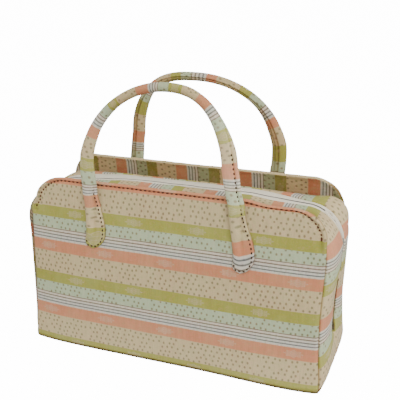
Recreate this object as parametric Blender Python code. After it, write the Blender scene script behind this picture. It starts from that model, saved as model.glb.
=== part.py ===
"""A kimono handbag: stiff padded cloth, two carrying loops and a zip round the top.

Metres, +Z up, the front towards -Y. The origin is the middle of the footprint on the ground.
"""
import math

import bmesh
import bpy
from mathutils import Vector

# Body
PANEL_LENGTH = 0.290
PANEL_HEIGHT = 0.1715
FRONT_LEFT_RADIUS = 0.037
FRONT_RIGHT_RADIUS = 0.028
BACK_LEFT_RADIUS = 0.027
BACK_RIGHT_RADIUS = 0.031
BASE_DEPTH = 0.107
TOP_DEPTH = 0.084
BASE_THICKNESS = 0.003
BASE_EDGE_ROUNDING = 0.0012
CLOTH_THICKNESS = 0.0022
PANEL_SWELL = 0.0042
FOOT_FLARE = 0.0015
SIDE_PINCH = 0.0022

# Rolled binding round the top edge of each panel
BINDING_HEIGHT = 0.0052
BINDING_THICKNESS = 0.0042
BINDING_END_HEIGHT = 0.130
BINDING_END_SHARE = 0.22

# Gusset that runs up one end, over the top and down the other end
SEAM_HEIGHT = 0.150
RIDGE_CORNER_RADIUS = 0.028
FRONT_SEAM_RADIUS = 0.028
BACK_SEAM_RADIUS = 0.017
TOP_CROWN = 0.013
END_BULGE = 0.0076
FOLD_DEPTH = 0.0078
FOLD_REACH = 0.024
FOLD_HEIGHT = 0.050

# Zip
ZIP_HALF_WIDTH = 0.007
ZIP_END_HEIGHT = 0.088
TAPE_THICKNESS = 0.0012
TAPE_RECESS = 0.0006
TAPE_END_GAP = 0.012
SLIDER_LENGTH = 0.0095
SLIDER_WIDTH = 0.0075
SLIDER_HEIGHT = 0.0030
SLIDER_ANGLE = math.radians(58.0)
PULL_LENGTH = 0.021
PULL_WIDTH = 0.0050
PULL_THICKNESS = 0.0011

# Handles
TONGUE_WIDTH = 0.020
TONGUE_THICKNESS = 0.0036
TONGUE_TIP_HEIGHT = 0.1045
TONGUE_TIP_LENGTH = 0.014
ROOT_HALF_SPAN = 0.0735
LEG_WIDTH = 0.0138
LEG_THICKNESS = 0.0066
CORD_DIAMETER = 0.0082
ARCH_SPRING_HEIGHT = 0.178
FRONT_HALF_SPAN = 0.0700
FRONT_RISE = 0.0865
FRONT_ARCH_POWER = 2.15
FRONT_LEG_SWAY = -0.0090
FRONT_TOP_SWAY = 0.0010
BACK_HALF_SPAN = 0.0750
BACK_RISE = 0.0808
BACK_ARCH_POWER = 2.4
BACK_LEG_SWAY = 0.0040
BACK_TOP_SWAY = -0.0080

# Clearances
GAP = 0.0003
SEAM_GAP = 0.0005
HANDLE_CLEARANCE = 0.0005

# Bulge of the gusset's middle line beyond its seams, up one end and then along the top
END_PROFILE = (
    # height as a share of SEAM_HEIGHT, bulge as a share of END_BULGE, power of the cross profile
    (0.00, 0.20, 7.0),
    (0.04, 0.62, 7.0),
    (0.10, 0.88, 7.0),
    (0.30, 0.96, 7.0),
    (0.60, 1.00, 7.0),
    (0.82, 1.00, 6.0),
)
TOP_PROFILE = (
    # share of the way from the corner to the middle, crown as a share of TOP_CROWN, power
    (0.00, 0.66, 4.2),
    (0.20, 0.80, 3.0),
    (0.45, 0.97, 2.5),
    (1.00, 1.00, 2.5),
)
# Inward fold in each end below the zip: height as a share of FOLD_HEIGHT, depth of FOLD_DEPTH
FOLD_TABLE = (
    (0.50, 0.00),
    (0.76, 0.48),
    (0.96, 1.00),
    (1.12, 0.95),
    (1.34, 0.58),
    (1.76, 0.24),
    (2.00, 0.00),
)

# Steps of the meshes, as shares of the way
PANEL_ROWS = (0.0, 0.11, 0.28, 0.46, 0.64, 0.82, 1.0)
END_STEPS = (0.00, 0.045, 0.11, 0.19, 0.26, 0.33, 0.40, 0.47, 0.55, 0.65, 0.73, 0.82, 0.91, 1.00)
GUSSET_COLUMNS = (1.0, 0.94, 0.85, 0.66, 0.42, 0.20, 0.0)
TONGUE_STEPS = (0.0, 0.02, 0.06, 0.12, 0.19, 0.28, 0.42, 0.58, 0.74, 0.88, 1.0)
CORNER_STEPS = 6
STRAIGHT_STEPS = 12
BINDING_SIDES = 8
HANDLE_SIDES = 12
ARCH_STEPS = 30

COLORS = {
    "cloth_cream": (0.60, 0.50, 0.34, 1.0),
    "cloth_orange": (0.62, 0.30, 0.17, 1.0),
    "zip_white": (0.72, 0.70, 0.62, 1.0),
    "slider_white": (0.80, 0.80, 0.76, 1.0),
}


def clear_scene():
    for item in list(bpy.data.objects):
        bpy.data.objects.remove(item, do_unlink=True)


def make_material(name, roughness):
    material = bpy.data.materials.new(name)
    material.use_nodes = True
    shader = material.node_tree.nodes["Principled BSDF"]
    shader.inputs["Base Color"].default_value = COLORS[name]
    shader.inputs["Roughness"].default_value = roughness
    shader.inputs["Metallic"].default_value = 0.0
    return material


def mix(a, b, share):
    return a + (b - a) * share


def smooth(share):
    share = min(1.0, max(0.0, share))
    return share * share * (3.0 - 2.0 * share)


def read_table(table, position):
    """Each value of a row, between the rows of a table whose first column rises."""
    if position <= table[0][0]:
        return table[0][1:]
    for low, high in zip(table, table[1:]):
        if position <= high[0]:
            share = (position - low[0]) / (high[0] - low[0])
            return tuple(mix(a, b, share) for a, b in zip(low[1:], high[1:]))
    return table[-1][1:]


def add_object(name, points, faces, material):
    mesh = bpy.data.meshes.new(name)
    mesh.from_pydata([tuple(point) for point in points], [], faces)
    work = bmesh.new()
    work.from_mesh(mesh)
    bmesh.ops.recalc_face_normals(work, faces=work.faces)
    work.to_mesh(mesh)
    work.free()
    mesh.materials.append(material)
    mesh.shade_smooth()
    mesh.set_sharp_from_angle(angle=math.radians(40.0))
    item = bpy.data.objects.new(name, mesh)
    bpy.context.scene.collection.objects.link(item)
    return item


def add_wall(name, outer, inner, material):
    """A sheet with thickness, from two grids of points of the same size."""
    rows, columns = len(outer), len(outer[0])
    points = [point for grid in (outer, inner) for row in grid for point in row]
    half = rows * columns

    def index(side, row, column):
        return side * half + row * columns + column

    faces = []
    for side in (0, 1):
        for row in range(rows - 1):
            for column in range(columns - 1):
                faces.append((index(side, row, column), index(side, row, column + 1),
                              index(side, row + 1, column + 1), index(side, row + 1, column)))
    rim = [(0, column) for column in range(columns)]
    rim += [(row, columns - 1) for row in range(1, rows)]
    rim += [(rows - 1, column) for column in range(columns - 2, -1, -1)]
    rim += [(row, 0) for row in range(rows - 2, 0, -1)]
    for here, after in zip(rim, rim[1:] + rim[:1]):
        faces.append((index(0, *here), index(0, *after), index(1, *after), index(1, *here)))
    return add_object(name, points, faces, material)


def add_sweep(name, rings, material):
    """A closed solid through rings of points, with a flat cap at each end."""
    sides = len(rings[0])
    points = [point for ring in rings for point in ring]
    faces = []
    for ring in range(len(rings) - 1):
        for side in range(sides):
            after = (side + 1) % sides
            faces.append((ring * sides + side, ring * sides + after,
                          (ring + 1) * sides + after, (ring + 1) * sides + side))
    faces.append(tuple(range(sides)))
    faces.append(tuple(range((len(rings) - 1) * sides, len(rings) * sides)))
    return add_object(name, points, faces, material)


def corner_radius(side, end):
    """Radius of a panel's top corner; side is -1 for the front, end is -1 for the left."""
    if side < 0.0:
        return FRONT_LEFT_RADIUS if end < 0.0 else FRONT_RIGHT_RADIUS
    return BACK_LEFT_RADIUS if end < 0.0 else BACK_RIGHT_RADIUS


def half_depth(z):
    return mix(BASE_DEPTH, TOP_DEPTH, z / PANEL_HEIGHT) / 2.0


def half_length(z):
    """Half the length of a panel at a height: flared at the foot, drawn in by the seams above."""
    flare = FOOT_FLARE * (1.0 - smooth(z / (0.18 * PANEL_HEIGHT)))
    pinch = SIDE_PINCH * math.sin(math.pi * min(1.0, max(0.0, z / BINDING_END_HEIGHT))) ** 2
    return PANEL_LENGTH / 2.0 + flare - pinch


def panel_face(x, z):
    """Distance of a panel's outer face from the middle plane, with its pillow swell."""
    across = min(1.0, abs(x) / (PANEL_LENGTH / 2.0))
    up = min(1.0, z / PANEL_HEIGHT)
    return half_depth(z) + PANEL_SWELL * (1.0 - across ** 6) * (1.0 - up ** 3)


def binding_height(z, radius):
    """Height of the binding's bead, which runs out down the side of a corner."""
    corner_z = PANEL_HEIGHT - radius
    share = (z - BINDING_END_HEIGHT) / (corner_z - BINDING_END_HEIGHT)
    return BINDING_HEIGHT * mix(BINDING_END_SHARE, 1.0, min(1.0, max(0.0, share)))


def panel_side(z, radius):
    """Half length of a panel's cut edge, which lies inside the outline where the binding is."""
    if z < BINDING_END_HEIGHT:
        return half_length(z)
    return half_length(z) - binding_height(z, radius) - GAP


def corner_arc(radius, end, inset):
    """Points and outward directions round a top corner, from the side up to the straight edge."""
    center_x = PANEL_LENGTH / 2.0 - radius
    center_z = PANEL_HEIGHT - radius
    arc = []
    for step in range(CORNER_STEPS + 1):
        angle = math.pi / 2.0 * step / CORNER_STEPS
        out_x, out_z = end * math.cos(angle), math.sin(angle)
        arc.append((end * center_x + (radius - inset) * out_x,
                    center_z + (radius - inset) * out_z, out_x, out_z))
    return arc


def top_outline(side, inset):
    """A panel's outline from the left corner over the straight edge to the right corner."""
    left = corner_arc(corner_radius(side, -1.0), -1.0, inset)
    right = corner_arc(corner_radius(side, 1.0), 1.0, inset)
    start, stop = left[-1], right[-1]
    middle = [(mix(start[0], stop[0], step / STRAIGHT_STEPS), start[1], 0.0, 1.0)
              for step in range(1, STRAIGHT_STEPS)]
    return left + middle + right[::-1]


def panel_rows(side):
    """Rows of x and z over a panel's face: level ones up to the binding's ends, then to its arc."""
    foot = BASE_THICKNESS + GAP
    columns = [(x, z) for x, z, _, _ in top_outline(side, BINDING_HEIGHT + GAP)]
    reach = PANEL_LENGTH / 2.0 - BINDING_HEIGHT - GAP
    rows = []
    for share in PANEL_ROWS:
        level = mix(foot, BINDING_END_HEIGHT - GAP, share)
        rows.append([(x * half_length(level) / reach, level) for x, _ in columns])
    corner = FRONT_LEFT_RADIUS if side < 0.0 else BACK_RIGHT_RADIUS
    narrow = panel_side(BINDING_END_HEIGHT, corner) / reach
    for share in (0.0, 0.5, 1.0):
        rows.append([(mix(x * narrow, x, share), mix(BINDING_END_HEIGHT, z, share))
                     for x, z in columns])
    return rows


def make_panel(name, side, material):
    """One big face of the bag; side is -1 for the front and 1 for the back."""
    outer, inner = [], []
    for row in panel_rows(side):
        outer.append([(x, side * panel_face(x, z), z) for x, z in row])
        inner.append([(x, side * (panel_face(x, z) - CLOTH_THICKNESS), z) for x, z in row])
    return add_wall(name, outer, inner, material)


def binding_outline(side):
    """Where the binding runs: up the side of a corner, round the top and down the other side."""
    stations = []
    for end in (-1.0, 1.0):
        corner_z = PANEL_HEIGHT - corner_radius(side, end)
        rise = [(end * half_length(mix(BINDING_END_HEIGHT + GAP, corner_z, share)),
                 mix(BINDING_END_HEIGHT + GAP, corner_z, share), end, 0.0) for share in (0.0, 0.5)]
        stations.append(rise)
    return stations[0] + top_outline(side, 0.0) + stations[1][::-1]


def make_binding(name, side, material):
    """The rolled edge that stands on the panel's cut edge, level with its inner face."""
    rings = []
    for x, z, out_x, out_z in binding_outline(side):
        height = binding_height(z, corner_radius(side, x))
        fade = (height / BINDING_HEIGHT - BINDING_END_SHARE) / (1.0 - BINDING_END_SHARE)
        thickness = mix(CLOTH_THICKNESS, BINDING_THICKNESS, smooth(fade))
        middle_x = x - out_x * height / 2.0
        middle_z = z - out_z * height / 2.0
        middle_y = panel_face(middle_x, middle_z) - CLOTH_THICKNESS + thickness / 2.0
        corner = math.cos(math.pi / BINDING_SIDES)
        ring = []
        for step in range(BINDING_SIDES):
            angle = math.tau * (step + 0.5) / BINDING_SIDES
            reach = height / 2.0 * math.cos(angle) / corner
            depth = thickness / 2.0 * math.sin(angle) / corner
            ring.append((middle_x + out_x * reach, side * (middle_y + depth),
                         middle_z + out_z * reach))
        rings.append(ring)
    return add_sweep(name, rings, material)


def fold_depth(z):
    return FOLD_DEPTH * read_table(FOLD_TABLE, z / FOLD_HEIGHT)[0]


def seam_radius(side):
    return FRONT_SEAM_RADIUS if side < 0.0 else BACK_SEAM_RADIUS


def path_point(leg, share, end, radius):
    """A point and its outward direction on a round-cornered path up an end and over the top."""
    corner_z = SEAM_HEIGHT - radius
    center_x = PANEL_LENGTH / 2.0 - radius
    if leg == "end":
        z = mix(BASE_THICKNESS + GAP, corner_z, share)
        return end * half_length(z), z, end, 0.0
    if leg == "corner":
        angle = math.pi / 2.0 * share
        out_x, out_z = end * math.cos(angle), math.sin(angle)
        return end * center_x + radius * out_x, corner_z + radius * out_z, out_x, out_z
    return mix(-center_x, center_x, share), SEAM_HEIGHT, 0.0, 1.0


def ridge_point(leg, share, end):
    """The middle line's path, its bulge beyond the path, the cross power and the fold's depth."""
    x, z, out_x, out_z = path_point(leg, share, end, RIDGE_CORNER_RADIUS)
    fold = 0.0
    if leg == "end":
        bulge, power = read_table(END_PROFILE, z / SEAM_HEIGHT)
        bulge *= END_BULGE
        fold = fold_depth(z)
    elif leg == "corner":
        crown, top_power = TOP_PROFILE[0][1:]
        _, end_bulge, end_power = END_PROFILE[-1]
        bulge = mix(END_BULGE * end_bulge, TOP_CROWN * crown, share)
        power = mix(end_power, top_power, share)
    else:
        crown, power = read_table(TOP_PROFILE, 1.0 - abs(2.0 * share - 1.0))
        bulge = TOP_CROWN * crown
    return x, z, out_x, out_z, bulge, power, fold


def zip_end_share():
    corner_z = SEAM_HEIGHT - RIDGE_CORNER_RADIUS
    foot = BASE_THICKNESS + GAP
    return (ZIP_END_HEIGHT - foot) / (corner_z - foot)


def gusset_stations():
    """All stations from the left foot over the top to the right foot: leg, share and end."""
    zip_share = zip_end_share()
    shares = sorted(set(END_STEPS) | {zip_share, zip_share - 0.03})
    left = [("end", share, -1.0) for share in shares]
    left += [("corner", step / CORNER_STEPS, -1.0) for step in range(1, CORNER_STEPS)]
    middle = [("top", step / STRAIGHT_STEPS, 1.0) for step in range(STRAIGHT_STEPS + 1)]
    return left + middle + [(leg, share, 1.0) for leg, share, _ in reversed(left)]


def gusset_point(station, side, y_share, y_inner, drop):
    """A point of the gusset; y_share 1 is the seam, 0 the edge along the zip, drop the depth below."""
    x, z, out_x, out_z, bulge, power, fold = ridge_point(*station)
    seam_x, seam_z = path_point(*station, seam_radius(side))[:2]
    seam_y = panel_face(seam_x, seam_z) - CLOTH_THICKNESS - SEAM_GAP
    y = mix(y_inner, seam_y, y_share)
    away = min(1.0, y / seam_y) ** power
    rise = bulge - fold * max(0.0, 1.0 - y / FOLD_REACH) ** 1.5
    point_x = mix(x + out_x * rise, seam_x, away) - out_x * drop
    point_z = mix(z + out_z * rise, seam_z, away) - out_z * drop
    if y_share == 1.0:
        y = panel_face(point_x, point_z) - CLOTH_THICKNESS - SEAM_GAP
    return point_x, y, point_z


def inner_edge(station):
    """Half the opening that the zip fills; below the zip's end the two halves meet."""
    leg, share, _ = station
    if leg == "end" and share < zip_end_share():
        return GAP / 2.0
    return ZIP_HALF_WIDTH


def make_gusset(name, side, material):
    """Half of the gusset, between one panel and the zip."""
    outer, inner = [], []
    for station in gusset_stations():
        edge = inner_edge(station)
        outer_row, inner_row = [], []
        for share in GUSSET_COLUMNS:
            x, y, z = gusset_point(station, side, share, edge, 0.0)
            outer_row.append((x, side * y, z))
            x, y, z = gusset_point(station, side, share, edge, CLOTH_THICKNESS)
            inner_row.append((x, side * y, z))
        outer.append(outer_row)
        inner.append(inner_row)
    return add_wall(name, outer, inner, material)


def zip_stations():
    """The part of the gusset's path that the zip follows, a little short of the seam at each end."""
    low = zip_end_share()
    kept = [station for station in gusset_stations() if station[0] != "end" or station[1] > low]
    first = ("end", low + TAPE_END_GAP, -1.0)
    last = ("end", low + TAPE_END_GAP, 1.0)
    return [first] + kept + [last]


def tape_point(station, y, drop):
    """A point on the zip, which lies a little below the gusset's outer face."""
    x, z, out_x, out_z, bulge, _, _ = ridge_point(*station)
    rise = bulge - TAPE_RECESS - drop
    return x + out_x * rise, y, z + out_z * rise


def make_tape(name, side, material):
    """One tape of the zip; the closed zip is the line where the two tapes meet."""
    outer, inner = [], []
    for station in zip_stations():
        rows = []
        for drop in (0.0, TAPE_THICKNESS):
            points = [tape_point(station, y, drop) for y in (GAP / 2.0, ZIP_HALF_WIDTH - GAP)]
            rows.append([(x, side * y, z) for x, y, z in points])
        outer.append(rows[0])
        inner.append(rows[1])
    return add_wall(name, outer, inner, material)


def slider_frame():
    """Place and directions of the slider on the right corner: on the zip, along it and out of it."""
    station = ("corner", SLIDER_ANGLE / (math.pi / 2.0), 1.0)
    x, _, z = tape_point(station, 0.0, 0.0)
    out = Vector((math.cos(SLIDER_ANGLE), 0.0, math.sin(SLIDER_ANGLE)))
    along = Vector((out.z, 0.0, -out.x))
    return Vector((x, 0.0, z)), along, out


def rounded_plate(origin, along, out, length, width, low, high, corner, start):
    """Rings of a plate with cut corners that lies along a direction."""
    across = along.cross(out)
    outline = ((0.0, width / 2.0 - corner), (corner, width / 2.0), (length - corner, width / 2.0),
               (length, width / 2.0 - corner), (length, corner - width / 2.0),
               (length - corner, -width / 2.0), (corner, -width / 2.0), (0.0, corner - width / 2.0))
    return [[origin + along * (start + run) + across * off + out * level for run, off in outline]
            for level in (low, high)]


def make_slider(material):
    origin, along, out = slider_frame()
    sag = SLIDER_LENGTH ** 2 / 8.0 / (RIDGE_CORNER_RADIUS + END_BULGE)
    low = GAP + TAPE_RECESS
    rings = rounded_plate(origin, along, out, SLIDER_LENGTH, SLIDER_WIDTH, low,
                          low + SLIDER_HEIGHT, SLIDER_WIDTH * 0.28, -SLIDER_LENGTH / 2.0)
    waist = SLIDER_HEIGHT * 0.7
    top = rounded_plate(origin, along, out, SLIDER_LENGTH * 0.72, SLIDER_WIDTH * 0.6, low,
                        low + SLIDER_HEIGHT, SLIDER_WIDTH * 0.16, -SLIDER_LENGTH * 0.36)[1]
    middle = [point + out * (waist - SLIDER_HEIGHT) for point in rings[1]]
    lift = out * max(0.0, sag - TAPE_RECESS)
    return add_sweep("zip_slider", [[point + lift for point in ring]
                                    for ring in (rings[0], middle, top)], material)


def pull_station(run):
    """The station of the zip's path that lies a distance below the slider's middle."""
    radius = RIDGE_CORNER_RADIUS + END_BULGE
    angle = SLIDER_ANGLE - run / radius
    if angle > 0.0:
        return "corner", angle / (math.pi / 2.0), 1.0
    corner_z = SEAM_HEIGHT - RIDGE_CORNER_RADIUS
    foot = BASE_THICKNESS + GAP
    return "end", 1.0 + angle * radius / (corner_z - foot), 1.0


def make_pull(material):
    """The slider's tab, which lies on the tapes and hangs down over the right end."""
    start = SLIDER_LENGTH / 2.0 + GAP * 2.0
    rings = []
    for share, width_share in ((0.0, 0.55), (0.08, 0.9), (0.25, 0.8), (0.5, 0.86), (0.75, 1.0),
                               (0.93, 0.94), (1.0, 0.6)):
        station = pull_station(start + PULL_LENGTH * share)
        half = PULL_WIDTH * width_share / 2.0
        ring = []
        for y, level in ((-half, 0.0), (half, 0.0), (half, 1.0), (-half, 1.0)):
            x, _, z = tape_point(station, 0.0, -GAP * 2.0 - PULL_THICKNESS * level)
            ring.append((x, y, z))
        rings.append(ring)
    return add_sweep("zip_pull", rings, material)


def handle_path(half_span, rise, power, leg_sway, top_sway):
    """Points of a handle's middle line from tip to tip: x, z, and the share of the way to the top."""
    points = []
    for share in TONGUE_STEPS:
        z = mix(TONGUE_TIP_HEIGHT, ARCH_SPRING_HEIGHT, share)
        points.append((-mix(ROOT_HALF_SPAN, half_span, smooth(share)), z))
    for step in range(1, ARCH_STEPS):
        angle = math.pi * step / ARCH_STEPS
        cosine, sine = math.cos(angle), math.sin(angle)
        x = -half_span * math.copysign(abs(cosine) ** (2.0 / power), cosine)
        points.append((x, ARCH_SPRING_HEIGHT + rise * sine ** (2.0 / power)))
    points += [(-x, z) for x, z in reversed(points[:len(TONGUE_STEPS)])]
    swayed = []
    for x, z in points:
        low = smooth((z - TONGUE_TIP_HEIGHT) / (PANEL_HEIGHT - TONGUE_TIP_HEIGHT))
        high = max(0.0, (z - ARCH_SPRING_HEIGHT) / rise) ** 3
        swayed.append((x + leg_sway * mix(0.33, 1.0, low) + (top_sway - leg_sway) * high, z))
    return swayed


def handle_section(z, top_z):
    """Width and thickness of a handle at a height: flat tongue, oval leg, round cord."""
    tip_run = (z - TONGUE_TIP_HEIGHT) / TONGUE_TIP_LENGTH
    broad = mix(TONGUE_WIDTH, LEG_WIDTH, smooth((z - 0.80 * PANEL_HEIGHT) / (0.2 * PANEL_HEIGHT)))
    thick = mix(TONGUE_THICKNESS, LEG_THICKNESS, smooth((z - TONGUE_TIP_HEIGHT)
                                                       / (PANEL_HEIGHT - TONGUE_TIP_HEIGHT)))
    if tip_run < 1.0:
        broad *= math.sqrt(max(0.04, 1.0 - (1.0 - tip_run) ** 2))
        thick *= mix(0.6, 1.0, max(0.0, tip_run))
    up = smooth((z - PANEL_HEIGHT) / (0.75 * (top_z - PANEL_HEIGHT)))
    return mix(broad, CORD_DIAMETER, up), mix(thick, CORD_DIAMETER, up)


def handle_y(x, z, thickness):
    """Distance of a handle's middle line from the middle plane."""
    over_binding = BINDING_THICKNESS - CLOTH_THICKNESS + HANDLE_CLEARANCE
    clear = mix(GAP, over_binding, smooth((z - 0.86 * PANEL_HEIGHT) / (0.09 * PANEL_HEIGHT)))
    return panel_face(x, min(z, PANEL_HEIGHT)) + clear + thickness / 2.0


def make_handle(name, side, shape, material):
    points = handle_path(*shape)
    top_z = max(z for _, z in points)
    lean = (BASE_DEPTH - TOP_DEPTH) / 2.0 / PANEL_HEIGHT
    rings = []
    for number, (x, z) in enumerate(points):
        before = points[max(0, number - 1)]
        after = points[min(len(points) - 1, number + 1)]
        along = Vector((after[0] - before[0], 0.0, after[1] - before[1])).normalized()
        normal = Vector((along.z, 0.0, -along.x))
        width, thickness = handle_section(z, top_z)
        y = handle_y(x, z, thickness) - lean * max(0.0, z - PANEL_HEIGHT)
        middle = Vector((x, side * y, z))
        ring = []
        for step in range(HANDLE_SIDES):
            angle = math.tau * (step + 0.5) / HANDLE_SIDES
            ring.append(middle + normal * (width / 2.0 * math.cos(angle))
                        + Vector((0.0, thickness / 2.0 * math.sin(angle), 0.0)))
        rings.append(ring)
    return add_sweep(name, rings, material)


def base_outline():
    """The footprint, counterclockwise: the feet of the panels and of the gusset's ends."""
    foot = BASE_THICKNESS + GAP
    front = [(x, -panel_face(x, foot)) for x, _ in panel_rows(-1.0)[0]]
    station = ("end", 0.0, 1.0)
    right = [gusset_point(station, 1.0, share, 0.0, 0.0)[:2] for share in GUSSET_COLUMNS]
    right_front = [(x, -y) for x, y in right[:-1]]
    quarter = right_front + right[::-1]
    back = [(x, -y) for x, y in reversed(front)]
    left = [(-x, -y) for x, y in quarter]
    return front + quarter + back + left


def make_base(material):
    """The flat bottom, with a rounded lower edge."""
    rings = []
    for level, inset in ((0.0, BASE_EDGE_ROUNDING), (BASE_EDGE_ROUNDING, 0.0), (BASE_THICKNESS, 0.0)):
        ring = []
        for x, y in base_outline():
            shrink = 1.0 - inset / math.hypot(x, y)
            ring.append((x * shrink, y * shrink, level))
        rings.append(ring)
    return add_sweep("base", rings, material)


def main():
    clear_scene()
    cream = make_material("cloth_cream", 0.85)
    orange = make_material("cloth_orange", 0.85)
    white = make_material("zip_white", 0.80)
    enamel = make_material("slider_white", 0.35)
    make_base(cream)
    front_shape = (FRONT_HALF_SPAN, FRONT_RISE, FRONT_ARCH_POWER, FRONT_LEG_SWAY, FRONT_TOP_SWAY)
    back_shape = (BACK_HALF_SPAN, BACK_RISE, BACK_ARCH_POWER, BACK_LEG_SWAY, BACK_TOP_SWAY)
    for word, side, shape in (("front", -1.0, front_shape), ("back", 1.0, back_shape)):
        make_panel(word + "_panel", side, cream)
        make_binding(word + "_binding", side, orange)
        make_gusset(word + "_gusset", side, cream)
        make_tape(word + "_zip_tape", side, white)
        make_handle(word + "_handle", side, shape, cream)
    make_slider(enamel)
    make_pull(enamel)


main()
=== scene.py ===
import math

import bmesh
import bpy
import numpy as np
from mathutils import Matrix, Vector, noise


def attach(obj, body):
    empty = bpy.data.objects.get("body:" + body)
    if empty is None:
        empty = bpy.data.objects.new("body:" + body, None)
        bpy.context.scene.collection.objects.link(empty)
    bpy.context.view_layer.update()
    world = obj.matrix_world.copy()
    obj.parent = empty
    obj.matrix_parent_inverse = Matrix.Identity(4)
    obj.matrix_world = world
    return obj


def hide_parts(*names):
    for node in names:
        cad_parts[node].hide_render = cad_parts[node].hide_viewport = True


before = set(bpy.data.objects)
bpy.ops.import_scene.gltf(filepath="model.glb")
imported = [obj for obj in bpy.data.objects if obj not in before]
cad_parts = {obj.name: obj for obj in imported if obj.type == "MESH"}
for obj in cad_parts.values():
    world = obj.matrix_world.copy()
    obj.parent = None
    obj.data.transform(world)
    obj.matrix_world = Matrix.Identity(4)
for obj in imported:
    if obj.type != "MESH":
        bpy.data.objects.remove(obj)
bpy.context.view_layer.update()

# Sizes of the bag, as in its solids
PANEL_LENGTH = 0.290
PANEL_HEIGHT = 0.1715
BASE_DEPTH = 0.107
TOP_DEPTH = 0.084
BASE_THICKNESS = 0.003
GAP = 0.0003
PANEL_SWELL = 0.0042
FOOT_FLARE = 0.0015
SIDE_PINCH = 0.0022
LEFT_PINCH = 0.0008
CLOTH_THICKNESS = 0.0022
SEAM_GAP = 0.0005
CORNER_RADII = {(-1, -1): 0.037, (-1, 1): 0.028, (1, -1): 0.027, (1, 1): 0.031}
SEAM_RADII = {-1: 0.028, 1: 0.017}
RIDGE_CORNER_RADIUS = 0.028
SEAM_HEIGHT = 0.150
BINDING_END_HEIGHT = 0.130
TOP_CROWN = 0.013
END_BULGE = 0.0076
FOLD_DEPTH = 0.0078
FOLD_REACH = 0.024
FOLD_HEIGHT = 0.050
ZIP_END_HEIGHT = 0.088
TONGUE_TIP_HEIGHT = 0.1045
ROOT_HALF_SPAN = 0.0735
ARCH_SPRING_HEIGHT = 0.178
STRIPE_PERIOD = 0.06705

END_PROFILE = ((0.00, 0.20, 7.0), (0.04, 0.62, 7.0), (0.10, 0.88, 7.0), (0.30, 0.96, 7.0),
               (0.60, 1.00, 7.0), (0.82, 1.00, 6.0))
TOP_PROFILE = ((0.00, 0.66, 4.2), (0.20, 0.80, 3.0), (0.45, 0.97, 2.5), (1.00, 1.00, 2.5))
FOLD_TABLE = ((0.50, 0.00), (0.76, 0.48), (0.96, 1.00), (1.12, 0.95), (1.34, 0.58),
              (1.76, 0.24), (2.00, 0.00))
# Crease below the zip: height, depth, half of the opening, all in metres
CREASE_TABLE = ((0.033, 0.0, 0.0001), (0.037, 0.0030, 0.0010), (0.041, 0.0052, 0.0024),
                (0.047, 0.0056, 0.0030), (0.056, 0.0048, 0.0026),
                (0.068, 0.0034, 0.0016), (0.080, 0.0022, 0.0014), (0.089, 0.0014, 0.0010))
# Height: how far the back strip's edge gapes at the right end
GAPING_TABLE = ((0.0335, 0.0), (0.037, 0.0034), (0.043, 0.0064), (0.050, 0.0082), (0.057, 0.0080),
                (0.063, 0.0068), (0.070, 0.0050), (0.078, 0.0036), (0.086, 0.0025), (0.092, 0.0013),
                (0.095, 0.0))
# The cloth of the left end swells beside the front face: height, extra swell
LEFT_SWELL = ((0.0, 0.0), (0.008, 0.0009), (0.060, 0.0017), (0.103, 0.0021), (0.117, 0.0026), (0.124, 0.0034),
              (0.134, 0.0038), (0.141, 0.0028), (0.146, 0.0010), (0.150, 0.0))


def mix(a, b, share):
    return a + (b - a) * share


def clamp(value, low=0.0, high=1.0):
    return min(high, max(low, value))


def smooth(share):
    share = clamp(share)
    return share * share * (3.0 - 2.0 * share)


def ease(value, start, reach):
    """0 up to start and 1 from start + reach, smooth between."""
    return smooth((value - start) / reach)


def bell(value, middle, reach):
    return math.exp(-((value - middle) / reach) ** 2)


def signed_power(value, power):
    return math.copysign(abs(value) ** power, value)


def read_table(table, position):
    """Values of a table's row at a position, straight between rows; the first column holds the positions."""
    if position <= table[0][0]:
        return table[0][1:]
    for low, high in zip(table, table[1:]):
        if position <= high[0]:
            share = (position - low[0]) / (high[0] - low[0])
            return tuple(mix(a, b, share) for a, b in zip(low[1:], high[1:]))
    return table[-1][1:]


def run_lengths(points):
    """How far each point lies from the first, along the line that they make."""
    runs = [0.0]
    for before, after in zip(points, points[1:]):
        runs.append(runs[-1] + math.dist(before, after))
    return runs


def ripple(x, y, z, scale, seed=0.0):
    """Smooth noise from -1 to 1, the same in every run."""
    return noise.noise(Vector((x * scale + seed, y * scale - seed * 1.7, z * scale + seed * 0.3)))


# Meshes

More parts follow.
